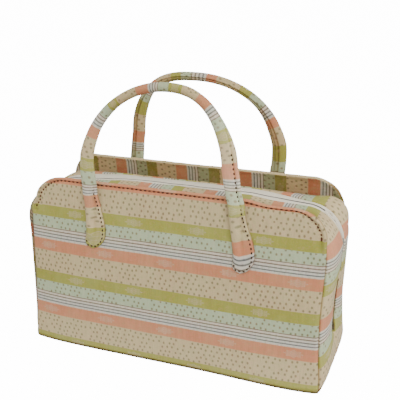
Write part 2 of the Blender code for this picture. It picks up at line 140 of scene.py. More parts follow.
class Skin:
    """Collects patches of points, welds them and keeps where each corner lies on the flat cloth."""

    def __init__(self):
        self.points = []
        self.found = {}
        self.faces = []
        self.cloth = []

    def point(self, place):
        key = (round(place[0] * 2e6), round(place[1] * 2e6), round(place[2] * 2e6))
        index = self.found.get(key)
        if index is None:
            index = len(self.points)
            self.found[key] = index
            self.points.append(tuple(place))
        return index

    def grid(self, rows, cloth, around=False):
        """Quads between rows of points; cloth holds (along, cycle, painted shade and light) for each point.
        """
        marks = [[self.point(place) for place in row] for row in rows]
        wide = len(rows[0])
        for r in range(len(rows) - 1):
            for c in range(wide if around else wide - 1):
                d = (c + 1) % wide
                corners = [(r, c), (r, d), (r + 1, d), (r + 1, c)]
                face, values = [], []
                for i, j in corners:
                    index = marks[i][j]
                    if face and (index == face[-1] or index == face[0]):
                        continue
                    face.append(index)
                    if around and j == 0 and d == 0:
                        values.append(cloth[i][wide] if len(cloth[i]) > wide else cloth[i][0])
                    else:
                        values.append(cloth[i][j])
                if len(set(face)) >= 3:
                    self.faces.append(face)
                    self.cloth.append(values)

    def fan(self, ring, cloth):
        """Closes a ring of points with one face."""
        self.faces.append([self.point(place) for place in ring])
        self.cloth.append(list(cloth))

    def strip(self, outer, inner, marks):
        """Two faces of a strip and its four edges."""
        self.grid(outer, marks)
        self.grid(inner, marks)
        for column in (0, -1):
            self.grid([[row[column] for row in outer], [row[column] for row in inner]],
                      [[mark[column] for mark in marks]] * 2)
        for row in (0, -1):
            self.grid([outer[row], inner[row]], [marks[row]] * 2)

    def tube(self, rings, marks):
        """Rings joined one to the next and closed at both ends."""
        self.grid(rings, marks, around=True)
        for ring, mark in ((rings[0], marks[0]), (rings[-1], marks[-1])):
            self.fan(ring, mark[:len(ring)])

    def build(self, name, material, smooth_angle=50.0):
        mesh = bpy.data.meshes.new(name)
        mesh.from_pydata(self.points, [], self.faces)
        layer = mesh.attributes.new("cloth", "FLOAT_VECTOR", "CORNER")
        flat = np.array([value for values in self.cloth for value in values], np.float32)
        layer.data.foreach_set("vector", flat.reshape(-1))
        mesh.materials.append(material)
        mesh.validate()
        item = bpy.data.objects.new(name, mesh)
        bpy.context.scene.collection.objects.link(item)
        fix_normals(item)
        mesh.shade_smooth()
        mesh.set_sharp_from_angle(angle=math.radians(smooth_angle))
        return item


def fix_normals(item):
    work = bmesh.new()
    work.from_mesh(item.data)
    bmesh.ops.recalc_face_normals(work, faces=work.faces)
    work.to_mesh(item.data)
    work.free()


def settle(item, slot, *nodes):
    """The piece rides on the bag and stands for its solids; the slot is not used."""
    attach(item, "root")
    if nodes:
        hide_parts(*nodes)
    return item


# Materials

def srgb(red, green, blue):
    def linear(value):
        value /= 255.0
        return value / 12.92 if value <= 0.04045 else ((value + 0.055) / 1.055) ** 2.4
    return linear(red), linear(green), linear(blue), 1.0


def node_operator(operation, swapped=False):
    def apply(field, other):
        return field.nodes.math(operation, *((other, field) if swapped else (field, other)))
    return apply


class Field:
    """The output of a shader node; sums, products and powers of fields are nodes too."""

    def __init__(self, nodes, socket):
        self.nodes, self.socket = nodes, socket

    __add__, __radd__ = node_operator("ADD"), node_operator("ADD", True)
    __sub__, __rsub__ = node_operator("SUBTRACT"), node_operator("SUBTRACT", True)
    __mul__, __rmul__ = node_operator("MULTIPLY"), node_operator("MULTIPLY", True)
    __truediv__, __pow__ = node_operator("DIVIDE"), node_operator("POWER")


class Nodes:
    """Short hand for building a material's node tree."""

    def __init__(self, name):
        self.material = bpy.data.materials.new(name)
        self.material.use_nodes = True
        self.tree = self.material.node_tree
        self.shader = self.tree.nodes["Principled BSDF"]

    def node(self, kind, output, inputs, **values):
        """Adds a node with its settings and inputs, and gives one of its outputs."""
        node = self.tree.nodes.new(kind)
        for key, value in values.items():
            setattr(node, key, value)
        for key, value in inputs.items():
            self.feed(node.inputs[key], value)
        return Field(self, node.outputs[output])

    def feed(self, socket, value):
        if isinstance(value, Field):
            self.tree.links.new(value.socket, socket)
        else:
            socket.default_value = value

    def split(self, field, kind="ShaderNodeSeparateXYZ"):
        first = self.node(kind, 0, {0: field})
        return [Field(self, socket) for socket in first.socket.node.outputs]

    def cloth_place(self):
        """Place along the cloth, cycle of the stripes and the painted shade and light, as kept in the mesh.
        """
        return self.split(self.node("ShaderNodeAttribute", "Vector", {}, attribute_name="cloth"))

    def math(self, operation, *values, limit=False):
        return self.node("ShaderNodeMath", 0, dict(enumerate(values)), operation=operation, use_clamp=limit)

    def step(self, value, low, high):
        """0 at low and 1 at high, smooth between."""
        return self.node("ShaderNodeMapRange", "Result", {"Value": value, "From Min": low, "From Max": high},
                         interpolation_type="SMOOTHSTEP")

    def color(self, share, a, b, blend="MIX"):
        return self.node("ShaderNodeMix", 2, {0: share, 6: a, 7: b}, data_type="RGBA", blend_type=blend)

    def vector(self, x, y, z=0.0):
        return self.node("ShaderNodeCombineXYZ", 0, {0: x, 1: y, 2: z})

    def ramp(self, value, stops, interpolation="LINEAR"):
        shades = self.node("ShaderNodeValToRGB", "Color", {"Fac": value})
        ramp = shades.socket.node.color_ramp
        ramp.interpolation = interpolation
        while len(ramp.elements) < len(stops):
            ramp.elements.new(0.5)
        for element, (place, shade) in zip(ramp.elements, stops):
            element.position = place
            element.color = shade
        return shades

    def noise(self, vector, scale, detail=2.0, rough=0.5):
        return self.node("ShaderNodeTexNoise", "Fac", {"Vector": vector, "Scale": scale, "Detail": detail,
                                                       "Roughness": rough}, noise_dimensions="3D")

    def finish(self, color, height, strength, distance, uniform):
        """Feeds the shader its colour, its bumps and its uniform values."""
        bump = self.node("ShaderNodeBump", "Normal", {"Strength": strength, "Distance": distance,
                                                      "Height": height})
        return self.settings({"Base Color": color, "Normal": bump, **uniform})

    def settings(self, values):
        for name, value in values.items():
            self.feed(self.shader.inputs[name], value)
        return self.material


# Bands of one repeat of the stripes, downwards: green, mint, lines, orange, cream
GREEN_END, MINT_END, LINES_END, ORANGE_END = 0.161, 0.326, 0.509, 0.682
GREEN = srgb(160, 158, 70)
MINT = srgb(180, 194, 160)
PALE_LINES = srgb(216, 204, 186)
ORANGE = srgb(206, 133, 97)
CREAM = srgb(204, 183, 139)
# Thin lines on the pale band and dashes, in millimetres
LINE_PITCH, LINE_START = 3.1, 1.2
DASH_PITCH, DASH_ROW, DASH_SHIFT, DASH_STRAY = 5.3, 4.5, 0.38, 0.34
DASH_HALF_SIZES = (0.98, 1.22)
FLOWER_SPAN, FLOWER_HALF_LENGTH, FLOWER_HALF_HEIGHT = 62.0, 8.9, 3.5
THREAD_PITCH = 0.62


def striped_cloth():
    n = Nodes("striped_cloth")
    along, cycle, shade = n.cloth_place()
    # Painted shade from the third value below 1, painted light from its excess above 1
    painted_shading = n.math("MINIMUM", shade, 1.0)
    painted_light = n.math("SUBTRACT", shade, 1.0, limit=True)
    period = STRIPE_PERIOD * 1000.0
    place = n.math("FRACT", cycle)
    down = cycle * period
    side = along * 1000.0

    # Bands with slightly soft borders
    soft = 0.003
    stops = [(0.0, GREEN)]
    for border, before, after in ((GREEN_END, GREEN, MINT), (MINT_END, MINT, PALE_LINES),
                                  (LINES_END, PALE_LINES, ORANGE), (ORANGE_END, ORANGE, CREAM)):
        stops += [(border - soft, before), (border + soft, after)]
    stops += [(1.0 - soft, CREAM), (1.0, GREEN)]
    base = n.ramp(place, stops)

    # Slubs along the threads, streaks, fine cross threads and slow changes of dye
    slub = n.noise(n.vector(side * 0.9, down * 0.06), 1.0, 4.0, 0.7)
    streak = n.noise(n.vector(side * 0.22, down * 0.03, 11.0), 1.0, 3.0, 0.6)
    cross = n.noise(n.vector(side * 0.10, down * 2.1, 3.0), 1.0)
    cloud = n.noise(n.vector(side, down, 7.0), 0.055)
    speck = n.noise(n.vector(side, down, 17.0), 1.4, 1.0)
    mottle = n.noise(n.vector(side, down, 23.0), 0.34, 4.0, 0.65)

    # Thin dark lines on the pale band
    inside = (place - MINT_END) * period
    away = n.math("ABSOLUTE", n.math("MODULO", inside + LINE_START, LINE_PITCH) - LINE_PITCH / 2.0)
    band = n.step(inside, -0.05, 0.05) * (1.0 - n.step(inside, 11.2, 11.3))
    line = (1.0 - n.step(away, 0.38, 0.86)) * band
    low = n.step(inside, 1.5, 9.0)
    line_color = n.color(low, srgb(104, 84, 68), srgb(84, 88, 92))
    cool = n.color(low * band * 0.55, base, srgb(204, 210, 204))
    color = n.color(line * (0.60 + speck * 0.5), cool, line_color)

    # Small dark dashes in staggered rows
    v = down / DASH_ROW
    row = n.math("FLOOR", v)
    u = side / DASH_PITCH + row * DASH_SHIFT
    cell = n.vector(n.math("FLOOR", u), row)
    picks = n.split(n.node("ShaderNodeTexWhiteNoise", "Color", {"Vector": cell}, noise_dimensions="2D"),
                    "ShaderNodeSeparateColor")
    squares = []
    for run, pick, size, half in zip((u, v), picks, (DASH_PITCH, DASH_ROW), DASH_HALF_SIZES):
        offset = (n.math("FRACT", run) - 0.5 - (pick - 0.5) * DASH_STRAY) * size / half
        squares.append(offset * offset)
    kept = n.math("GREATER_THAN", 0.84, picks[2])
    dash = (1.0 - n.step(squares[0] + squares[1], 0.05, 1.9)) * kept
    where = n.ramp(place, [(0.0, (0, 0, 0, 1)), (GREEN_END, (1, 1, 1, 1)), (MINT_END, (0.22, 0.22, 0.22, 1)),
                           (LINES_END, (0, 0, 0, 1)), (ORANGE_END, (1, 1, 1, 1))], "CONSTANT")
    dash_color = n.color(picks[0], srgb(122, 98, 68), srgb(104, 102, 72))
    color = n.color(dash * where * 0.78, color, dash_color)

    # Pale woven flowers lying in the green and orange bands
    for middle, extra in ((GREEN_END / 2.0, 0.5 - 28.5 / FLOWER_SPAN),
                          ((LINES_END + ORANGE_END) / 2.0, 0.5 + 1.5 / FLOWER_SPAN)):
        x = (n.math("FRACT", side / FLOWER_SPAN + extra) - 0.5) * (FLOWER_SPAN / FLOWER_HALF_LENGTH)
        y = (place - middle) * (period / FLOWER_HALF_HEIGHT)
        radius = n.math("SQRT", x * x + y * y)
        angle = n.math("ARCTAN2", y, x)
        petal = 0.80 + n.math("COSINE", angle * 8.0) * 0.14
        rim = 1.0 - n.step(n.math("ABSOLUTE", radius - petal), 0.03, 0.13)
        heart = 1.0 - n.step(n.math("ABSOLUTE", radius - 0.28), 0.03, 0.11)
        ray = 1.0 - n.step(n.math("ABSOLUTE", n.math("COSINE", angle * 4.0)), 0.10, 0.42)
        ray = ray * n.step(radius, 0.26, 0.36) * (1.0 - n.step(radius, 0.62, 0.78))
        fill = (1.0 - n.step(radius, 0.66, 0.90)) * 0.55
        mark = n.math("MAXIMUM", n.math("MAXIMUM", rim, heart), n.math("MAXIMUM", ray, fill))
        color = n.color(mark * (0.24 + slub * 0.5), color, srgb(204, 184, 156))

    # Threads vary the brightness; the painted shade darkens below 1, and painted light makes the cloth paler
    # and brighter above it
    color = n.color(painted_light * 0.34, color, srgb(236, 222, 200))
    light = (0.72 + slub * 0.42) * (1.0 + painted_light * 0.70)
    for field, least, reach in ((streak, 0.90, 0.22), (cross, 0.93, 0.14), (cloud, 0.93, 0.16),
                                (speck, 0.94, 0.12)):
        light = light * (least + field * reach)
    grey = n.node("ShaderNodeCombineColor", 0, {0: light * painted_shading, 1: light * painted_shading ** 1.35,
                                                2: light * painted_shading ** 1.8})
    color = n.color(1.0, color, grey, "MULTIPLY")
    for share, tint in ((n.step(mottle, 0.50, 0.66) * 0.16, srgb(214, 166, 146)),
                        (n.step(mottle, 0.50, 0.36) * 0.16, srgb(150, 166, 112)),
                        (n.step(cloud, 0.35, 0.7) * 0.10, srgb(170, 186, 140))):
        color = n.color(share, color, tint)

    threads = [n.math("SINE", run * (math.tau / THREAD_PITCH)) for run in (side, down)]
    height = (threads[0] + threads[1]) * 0.25 + slub * 1.6
    return n.finish(color, height, 0.35, 0.00018, {"Roughness": 0.86, "Sheen Weight": 0.06,
                                                   "Sheen Roughness": 0.5, "Specular IOR Level": 0.15})


def plain_cloth(name, color, other, rib, line=None):
    """A woven tape or thread: ribs across and faint specks."""
    n = Nodes(name)
    side, down = (run * 1000.0 for run in n.cloth_place()[:2])
    speck = n.noise(n.vector(side, down), 1.6, 3.0, 0.6)
    slant = n.math("SINE", (down + n.math("ABSOLUTE", side)) * (math.tau / rib))
    shade = n.color(n.math("ADD", speck * 0.7, slant * 0.12, limit=True), color, other)
    if line is not None:
        shade = n.color(n.step(side, 0.95, 1.5), line, shade)
    return n.finish(shade, slant + speck * 1.2, 0.5, 0.00015, {"Roughness": 0.8, "Specular IOR Level": 0.3})


def enamel():
    n = Nodes("white_enamel")
    cloud = n.noise(n.node("ShaderNodeTexCoord", "Object", {}), 420.0, 3.0, 0.6)
    color = n.color(cloud, srgb(226, 218, 198), srgb(238, 232, 214))
    return n.finish(color, cloud, 0.12, 0.00005, {"Roughness": 0.34, "Coat Weight": 0.3,
                                                  "Coat Roughness": 0.2})


cloth = striped_cloth()
tape_cloth = plain_cloth("zip_tape", srgb(236, 229, 206), srgb(250, 245, 228), 0.9, srgb(96, 92, 92))
thread_dark = plain_cloth("stitch_thread", srgb(104, 56, 34), srgb(70, 40, 26), 0.5)
thread_brown = plain_cloth("tongue_thread", srgb(74, 54, 36), srgb(48, 36, 24), 0.5)
white_enamel = enamel()


# Shape of the body

def half_depth(z):
    return mix(BASE_DEPTH, TOP_DEPTH, z / PANEL_HEIGHT) / 2.0


def half_length(z, end=1):
    flare = FOOT_FLARE * (1.0 - smooth(z / (0.18 * PANEL_HEIGHT)))
    pinch = SIDE_PINCH if end > 0 else LEFT_PINCH
    pinch *= math.sin(math.pi * clamp(z / BINDING_END_HEIGHT)) ** 2
    return PANEL_LENGTH / 2.0 + flare - pinch


def panel_face(x, z):
    across = min(1.0, abs(x) / (PANEL_LENGTH / 2.0))
    up = min(1.0, z / PANEL_HEIGHT)
    return half_depth(z) + PANEL_SWELL * (1.0 - across ** 6) * (1.0 - up ** 3)


# Big faces with their stitched lips
STITCH_PITCH = 0.0044
# Section of the lip: distance in from the edge, offset of the lip, offset of a plain side
LIP_SECTION = (
    (0.0130, 0.0000, 0.0000), (0.0105, 0.0000, 0.0000), (0.0085, 0.0000, 0.0000),
    (0.0064, -0.0001, 0.0000), (0.0048, -0.0003, 0.0000), (0.0038, -0.0007, 0.0000),
    (0.0033, -0.0010, 0.0000), (0.0028, -0.0007, -0.0001), (0.0023, 0.0000, -0.0001),
    (0.0018, 0.0007, -0.0002), (0.0013, 0.0010, -0.0004), (0.0009, 0.0008, -0.0007),
    (0.0005, 0.0003, -0.0011), (0.0002, -0.0005, -0.0015), (0.0000, -0.0013, -0.0020),
    (0.0003, -0.0022, -0.0025), (0.0009, -0.0029, -0.0028), (0.0018, -0.0033, -0.0028),
    (0.0030, -0.0032, -0.0027), (0.0042, -0.0027, -0.0025), (0.0060, -0.0024, -0.0024),
    (0.0090, -0.0023, -0.0023), (0.0130, -0.0023, -0.0023),
)
GROOVE_ROW = 6
ROLL_ROW = 16
FOOT_LOW = 0.0006
SIDE_STEPS = 44
STATION_STEP = 0.0011
# Place in the repeat that the back lip shows along the top
BACK_LIP_CYCLE = -13.5 / 67.05


def notch(z, side, end):
    """The lip draws in where it ends at the left front corner."""
    return 0.0024 * bell(z, 0.1490, 0.0055) if side < 0 and end < 0 else 0.0


def lip_drop(x, side):
    """The front lip lies lower where it comes near the right corner."""
    return 0.0032 * ease(x, 0.070, 0.026) if side < 0 else 0.0


def lip_stretch(x, out_x):
    """Width of the stitched edge against the plain one: narrow before the corner, wide on the end."""
    narrow = mix(1.0, 0.72, ease(x, 0.070, 0.026))
    return mix(narrow, 1.50, smooth(abs(out_x) / 0.85))


def face_path(side):
    """Stations round a face: foot, left side, corner, top, corner, right side, foot."""
    stations = []
    for end in (-1, 1):
        radius = CORNER_RADII[side, end]
        corner_z = PANEL_HEIGHT - radius
        rise = []
        for step in range(SIDE_STEPS + 1):
            z = mix(FOOT_LOW, corner_z, (step / SIDE_STEPS) ** 1.25)
            rise.append((end * (half_length(z, end) - notch(z, side, end)), z, float(end), 0.0))
        arc = []
        count = round(radius * math.pi / 2.0 / STATION_STEP)
        for step in range(1, count + 1):
            angle = math.pi / 2.0 * step / count
            out_x, out_z = end * math.cos(angle), math.sin(angle)
            bite = notch(corner_z + radius * out_z, side, end)
            arc_x = end * (PANEL_LENGTH / 2.0 - radius) + (radius - bite) * out_x
            arc.append((arc_x, corner_z + (radius - bite) * out_z - lip_drop(arc_x, side) * out_z,
                        out_x, out_z))
        stations.append((rise, arc))
    (left_rise, left_arc), (right_rise, right_arc) = stations
    start, stop = left_arc[-1][0], right_arc[-1][0]
    count = round((stop - start) / STATION_STEP)
    top = []
    for step in range(1, count):
        x = mix(start, stop, step / count)
        top.append((x, PANEL_HEIGHT - lip_drop(x, side), 0.0, 1.0))
    return left_rise, left_arc + top + right_arc[::-1], right_rise


def foot_round(z):
    return 0.0014 * max(0.0, 1.0 - z / 0.0042) ** 2.0


def painted_foot_shadow(z):
    """Painted shade: a dark line round the bottom, where the bag meets the floor."""
    return mix(0.14, 1.0, ease(z, 0.0022, 0.0022))


def painted_face_light(z, side):
    """Painted light: the whole front is brightened a little and its lower part more, as if it caught light
    from the floor; the painted shade round the foot comes on top.
    """
    return painted_foot_shadow(z) * (1.0 + (0.13 * (1.0 - smooth(z / 0.065)) + 0.03 if side < 0 else 0.0))


def foot_flare(x, z):
    """The front's foot stands out towards the right corner."""
    return 0.0038 * ease(x, 0.02, 0.12) * max(0.0, 1.0 - z / 0.055) ** 2.0


def face_relief(x, z, side):
    """Slow waves of the padding, in metres outwards."""
    calm = smooth(z / 0.02)
    wave = ripple(x, 0.0, z, 14.0, 3.0 + side) * 0.00055
    wave += ripple(x, 0.0, z, 38.0, 9.0 + side) * 0.00022
    return wave * calm + (foot_flare(x, z) if side < 0 else 0.0)


def lip_weight(z):
    return ease(z, 0.129, 0.009)


def face_cycle(z, side):
    """Place in the repeat of the stripes at a height of the outer face."""
    if side < 0:
        top = 0.1427
        rise = z - top
        return -rise * (0.944 if rise > 0.0 else 1.0) / STRIPE_PERIOD
    return (0.1585 - z) / STRIPE_PERIOD


def facing_cycle(x):
    return (-0.0945 - x) / 0.0678 + ORANGE_END + 4.0


# Painted shade on the inside of the faces: place in the repeat, darkening factor
PAINTED_FACING_SHADE = ((0.0, 0.54), (0.150, 0.54), (0.172, 0.62), (0.315, 0.62), (0.337, 0.77), (0.498, 0.77),
                (0.520, 0.71), (0.671, 0.71), (0.693, 0.77), (0.989, 0.77), (1.0, 0.54))


def painted_facing_shade(x):
    """Painted shade of the bands on the inside, darker and warmer, as in the low warm light there."""
    return read_table(PAINTED_FACING_SHADE, facing_cycle(x) % 1.0)[0]


def section_point(station, run, depth_in, lip, plain, side, arc_run):
    """A point of the border of a face, with the pucker that the stitches pull."""
    x, z, out_x, out_z = station
    weight = lip_weight(z)
    offset = mix(plain, lip, weight)
    stretch = lip_stretch(x, out_x) if side < 0 else 1.0
    depth_in *= mix(stretch, 1.0, ease(depth_in, 0.0045, 0.006))
    place_x, place_z = x - out_x * depth_in, z - out_z * depth_in
    inner = run > ROLL_ROW
    pull = bell(depth_in / stretch, 0.0034, 0.0009) if not inner else 0.0
    beat = math.cos(math.tau * arc_run / STITCH_PITCH)
    offset -= weight * pull * 0.00050 * (1.0 + beat)
    if not inner and depth_in < 0.0030 * stretch:
        offset += weight * 0.00016 * (1.0 - beat) * smooth(depth_in / 0.002)
    place_x += out_x * weight * 0.00025 * ripple(x, 0.0, z, 90.0, 5.0) * smooth(1.0 - depth_in / 0.006)
    place_z += out_z * weight * 0.00035 * ripple(x, 0.0, z, 90.0, 5.0) * smooth(1.0 - depth_in / 0.006)
    face = panel_face(place_x, place_z) + face_relief(place_x, place_z, side)
    y = face + offset - foot_round(place_z) * (0.0 if inner else 1.0)
    return place_x, side * y, place_z


def make_face(name, side, material, slot, nodes):
    left, top, right = face_path(side)
    skin = Skin()
    path = left + top + right[::-1]
    arc_runs = run_lengths([station[:2] for station in path])
    rows = [[section_point(station, number, *section, side, arc_run)
             for station, arc_run in zip(path, arc_runs)] for number, section in enumerate(LIP_SECTION)]
    outer_rows = rows[:ROLL_ROW + 2]
    inner_rows = rows[ROLL_ROW + 1:]
    outer_cloth = []
    for number, row in enumerate(outer_rows):
        values = []
        for index, (x, _, z) in enumerate(row):
            height = path[index][1] - path[index][3] * LIP_SECTION[number][0]
            if number > 13:
                height = path[index][1] + path[index][3] * 0.0008 * (number - 13)
            if side < 0:
                height += 0.0016 * ease(x, 0.074, 0.020) * ease(height, 0.150, 0.012)
            cycle = face_cycle(height, side)
            if side > 0 and number > 8 and path[index][3] > 0.5:
                cycle = BACK_LIP_CYCLE
            # Painted shade on the rolled edge where it turns in towards the seam, along the ends and round
            # the corners
            rim = smooth((abs(path[index][2]) - 0.35) / 0.40) * ease(number, 12, 3.0)
            values.append((x, cycle, painted_face_light(z, side) * (1.0 - 0.62 * rim)))
        outer_cloth.append(values)
    inner_cloth = [[(z, facing_cycle(x), painted_facing_shade(x)) for x, _, z in row] for row in inner_rows]
    skin.grid(outer_rows, outer_cloth)
    skin.grid(inner_rows, inner_cloth)

    # The field inside the border, and the strip under the foot
    feet = []
    for inner in (False, True):
        edge = rows[-1] if inner else rows[0]
        side_count = len(left)
        left_edge = edge[:side_count]
        top_edge = edge[side_count - 1:len(edge) - side_count + 1]
        right_edge = edge[len(edge) - side_count:][::-1]
        foot_count = len(top_edge)
        lengths = run_lengths([place[::2] for place in top_edge])
        grid, values = [], []
        for i in range(side_count):
            v = i / (side_count - 1)
            row, marks = [], []
            for k in range(foot_count):
                u = lengths[k] / lengths[-1]
                foot = (mix(left_edge[0][0], right_edge[0][0], u), mix(left_edge[0][2], right_edge[0][2], u))
                parts = []
                for axis, low in ((0, foot[0]), (2, foot[1])):
                    blend = (1.0 - v) * low + v * top_edge[k][axis]
                    blend += (1.0 - u) * left_edge[i][axis] + u * right_edge[i][axis]
                    blend -= ((1.0 - u) * (1.0 - v) * left_edge[0][axis] + u * v * right_edge[-1][axis]
                              + (1.0 - u) * v * left_edge[-1][axis]
                              + u * (1.0 - v) * right_edge[0][axis])
                    parts.append(blend)
                x, z = parts
                if k in (0, foot_count - 1) or i == side_count - 1:
                    source = left_edge[i] if k == 0 else right_edge[i]
                    place = top_edge[k] if i == side_count - 1 else source
                else:
                    y = panel_face(x, z) + face_relief(x, z, side)
                    y += LIP_SECTION[-1][1] if inner else -foot_round(z)
                    place = (x, side * y, z)
                row.append(place)
                marks.append((z, facing_cycle(x), painted_facing_shade(x)) if inner
                             else (x, face_cycle(z, side), painted_face_light(z, side)))
            grid.append(row)
            values.append(marks)
        skin.grid(grid, values)
        feet.append(grid[0])
    skin.grid(feet, [[(x, face_cycle(z, side), 1.0) for x, _, z in row] for row in feet])
    for column in (0, -1):
        ring = [row[column] for row in rows]
        skin.fan(ring, [(x, face_cycle(z, side), 1.0) for x, _, z in ring])
    item = skin.build(name, material)
    settle(item, slot, *nodes)
    return item, path, arc_runs


def capsule_row(skin, places, half, radius, flat=0.8, turns=8):
    """Short threads: each place is (middle, along, out), all unit directions."""
    for middle, along, out in places:
        across = along.cross(out).normalized()
        rings, marks = [], []
        for share, width in ((-1.0, 0.05), (-0.86, 0.62), (-0.5, 0.95), (0.0, 1.0), (0.5, 0.95),
                             (0.86, 0.62), (1.0, 0.05)):
            ring, mark = [], []
            sink = out * (-radius * 0.55 * share * share)
            for turn in range(turns):
                angle = math.tau * turn / turns
                place = (middle + along * (half * share) + sink
                         + across * (radius * width * math.cos(angle))
                         + out * (radius * flat * width * math.sin(angle)))
                ring.append(tuple(place))
                mark.append((turn * 0.0003, share * half, 1.0))
            rings.append(ring)
            marks.append(mark)
        skin.tube(rings, marks)


def lip_stitches(name, side, path, arc_runs):
    """Threads in the groove of the lip, one for each pitch."""
    places = []
    first = next(i for i, s in enumerate(path) if s[1] > 0.1385)
    last = len(path) - 1 - next(i for i, s in enumerate(path[::-1]) if s[1] > 0.1385)
    for index in range(first, last):
        if math.floor(arc_runs[index] / STITCH_PITCH) == math.floor(arc_runs[index + 1] / STITCH_PITCH):
            continue
        station = path[index]
        groove = LIP_SECTION[GROOVE_ROW]
        here = Vector(section_point(station, GROOVE_ROW, *groove, side, arc_runs[index]))
        there = Vector(section_point(path[index + 1], GROOVE_ROW, *groove, side, arc_runs[index + 1]))
        along = (there - here).normalized()
        out = Vector((0.0, float(side), 0.0))
        turn = 0.16 * math.sin(len(places) * 2.3)
        inward = Vector((-station[2], 0.0, -station[3]))
        along = (along + inward * turn).normalized()
        places.append((here + out * 0.00045, along, out))
    skin = Skin()
    capsule_row(skin, places, 0.0013, 0.00088)
    item = skin.build(name, thread_dark)
    return settle(item, "cloth_orange")


front_face, front_path, front_runs = make_face("front_face", -1, cloth, "cloth_cream",
                                               ("front_panel", "front_binding"))
back_face, back_path, back_runs = make_face("back_face", 1, cloth, "cloth_cream",
                                            ("back_panel", "back_binding"))
lip_stitches("front_lip_stitches", -1, front_path, front_runs)
lip_stitches("back_lip_stitches", 1, back_path, back_runs)


# Gusset, zip and slider
LEG = SEAM_HEIGHT - RIDGE_CORNER_RADIUS - BASE_THICKNESS - GAP
ARC = RIDGE_CORNER_RADIUS * math.pi / 2.0
TOP = PANEL_LENGTH - 2.0 * RIDGE_CORNER_RADIUS
WAY = 2.0 * (LEG + ARC) + TOP
GUSSET_STEPS = 320
TAPE_STEPS = 280
TAPE_THICKNESS = 0.0008
# Where the orange band starts along the gusset, in metres from the left foot
ORANGE_STARTS = (-0.020, 0.044, 0.107, 0.1695, 0.2355, 0.3027, 0.3685, 0.4262, 0.4870, 0.5490, 0.6110)


def way_point(way, radius, end=-1):
    """A point and outward direction on a round-cornered path at a distance from the left foot."""
    if way > WAY / 2.0 and end < 0:
        x, z, out_x, out_z, leg, share = way_point(WAY - way, radius, 1)
        return -x, z, -out_x, out_z, leg, share
    corner_z = SEAM_HEIGHT - radius
    center_x = PANEL_LENGTH / 2.0 - radius
    if way < LEG:
        z = mix(BASE_THICKNESS + GAP, corner_z, way / LEG)
        return -half_length(z, end), z, -1.0, 0.0, "end", way / LEG
    if way < LEG + ARC:
        angle = (way - LEG) / ARC * math.pi / 2.0
        out_x, out_z = -math.cos(angle), math.sin(angle)
        return -center_x + radius * out_x, corner_z + radius * out_z, out_x, out_z, "corner", \
            (way - LEG) / ARC
    share = (way - LEG - ARC) / TOP
    return mix(-center_x, center_x, share), SEAM_HEIGHT, 0.0, 1.0, "top", share


def ridge_line(way):
    """x and z of the line round the end, over the top and down the other end."""
    return way_point(way, RIDGE_CORNER_RADIUS)[:2]


def ridge(way):
    """The same line with its bulge, the power of its curve towards the seams and its fold."""
    x, z, out_x, out_z, leg, share = way_point(way, RIDGE_CORNER_RADIUS)
    fold = 0.0
    if leg == "end":
        bulge, power = read_table(END_PROFILE, z / SEAM_HEIGHT)
        bulge *= END_BULGE
        fold = FOLD_DEPTH * read_table(FOLD_TABLE, z / FOLD_HEIGHT)[0]
    elif leg == "corner":
        bulge = mix(END_BULGE, TOP_CROWN * TOP_PROFILE[0][1], share)
        power = mix(6.0, TOP_PROFILE[0][2], share)
    else:
        crown, power = read_table(TOP_PROFILE, 1.0 - abs(2.0 * share - 1.0))
        bulge = TOP_CROWN * crown
    if x < 0.0 and leg != "top":
        swell = read_table(LEFT_SWELL, z)[0]
        bulge += swell
        power += 5.0 * smooth(swell / 0.003)
    return x, z, out_x, out_z, bulge, power, fold, leg


def zip_end_way():
    corner_z = SEAM_HEIGHT - RIDGE_CORNER_RADIUS
    foot = BASE_THICKNESS + GAP
    return (ZIP_END_HEIGHT - foot) / (corner_z - foot) * LEG


def zip_middle(x):
    """The zip lies a little behind the middle plane along the top."""
    return 0.0030 * ease(x, -0.100, 0.060) * (1.0 - ease(x, 0.112, 0.030))


def tape_reach(x, z, side):
    """How far the tape shows from the zip's line: wide on the top, narrow on the ends."""
    if side < 0:
        wide = mix(0.0062, 0.0092, ease(x, 0.060, 0.030))
        narrow = ease(abs(x), 0.094, 0.038)
    else:
        wide = mix(0.0170, 0.0198, ease(x, -0.13, 0.06))
        narrow = ease(x, 0.048, 0.080) if x > 0.0 else ease(-x, 0.094, 0.050)
    return mix(wide, 0.0054, narrow) * mix(0.80, 1.0, ease(z, 0.088, 0.050))


def crease(x, z, side):
    """Depth and half opening of the crease; the back strip's edge gapes at the right end."""
    depth, slit = read_table(CREASE_TABLE, z)
    if x > 0.0 and side > 0:
        return depth * 0.55, max(slit, read_table(GAPING_TABLE, z)[0])
    return depth, slit


def gusset_edge(way, side):
    """Distance of the strip's inner edge from the middle plane, and 1 where the zip is closed."""
    x, z = ridge_line(way)
    slit = crease(x, z, side)[1]
    opened = smooth((min(way, WAY - way) - zip_end_way() + 0.005) / 0.005)
    return mix(slit, tape_reach(x, z, side) + side * zip_middle(x), opened), opened


# Share of the corner from the end to the top: how far the back right corner stands out
SQUARE_TABLE = ((0.0, 0.0), (0.18, 0.0004), (0.30, 0.0034), (0.42, 0.0066), (0.56, 0.0080), (0.72, 0.0060),
                (0.86, 0.0022), (1.0, 0.0))


def sewn_edge(way, side):
    """The strip's sewn edge: x, z and distance from the middle plane."""
    x, z = way_point(way, SEAM_RADII[side])[:2]
    flare = foot_flare(x, z) if side < 0 else 0.0
    return x, z, panel_face(x, z) + flare - CLOTH_THICKNESS - SEAM_GAP


def end_relief(way, y, side, leg):
    x, z = ridge_line(way)
    strength = 0.0009 if leg == "end" else 0.0005
    wave = ripple(x, y, z, 26.0, 2.0 + side) * strength
    wave += ripple(x, y, z, 60.0, 6.0 + side) * 0.0003
    return wave


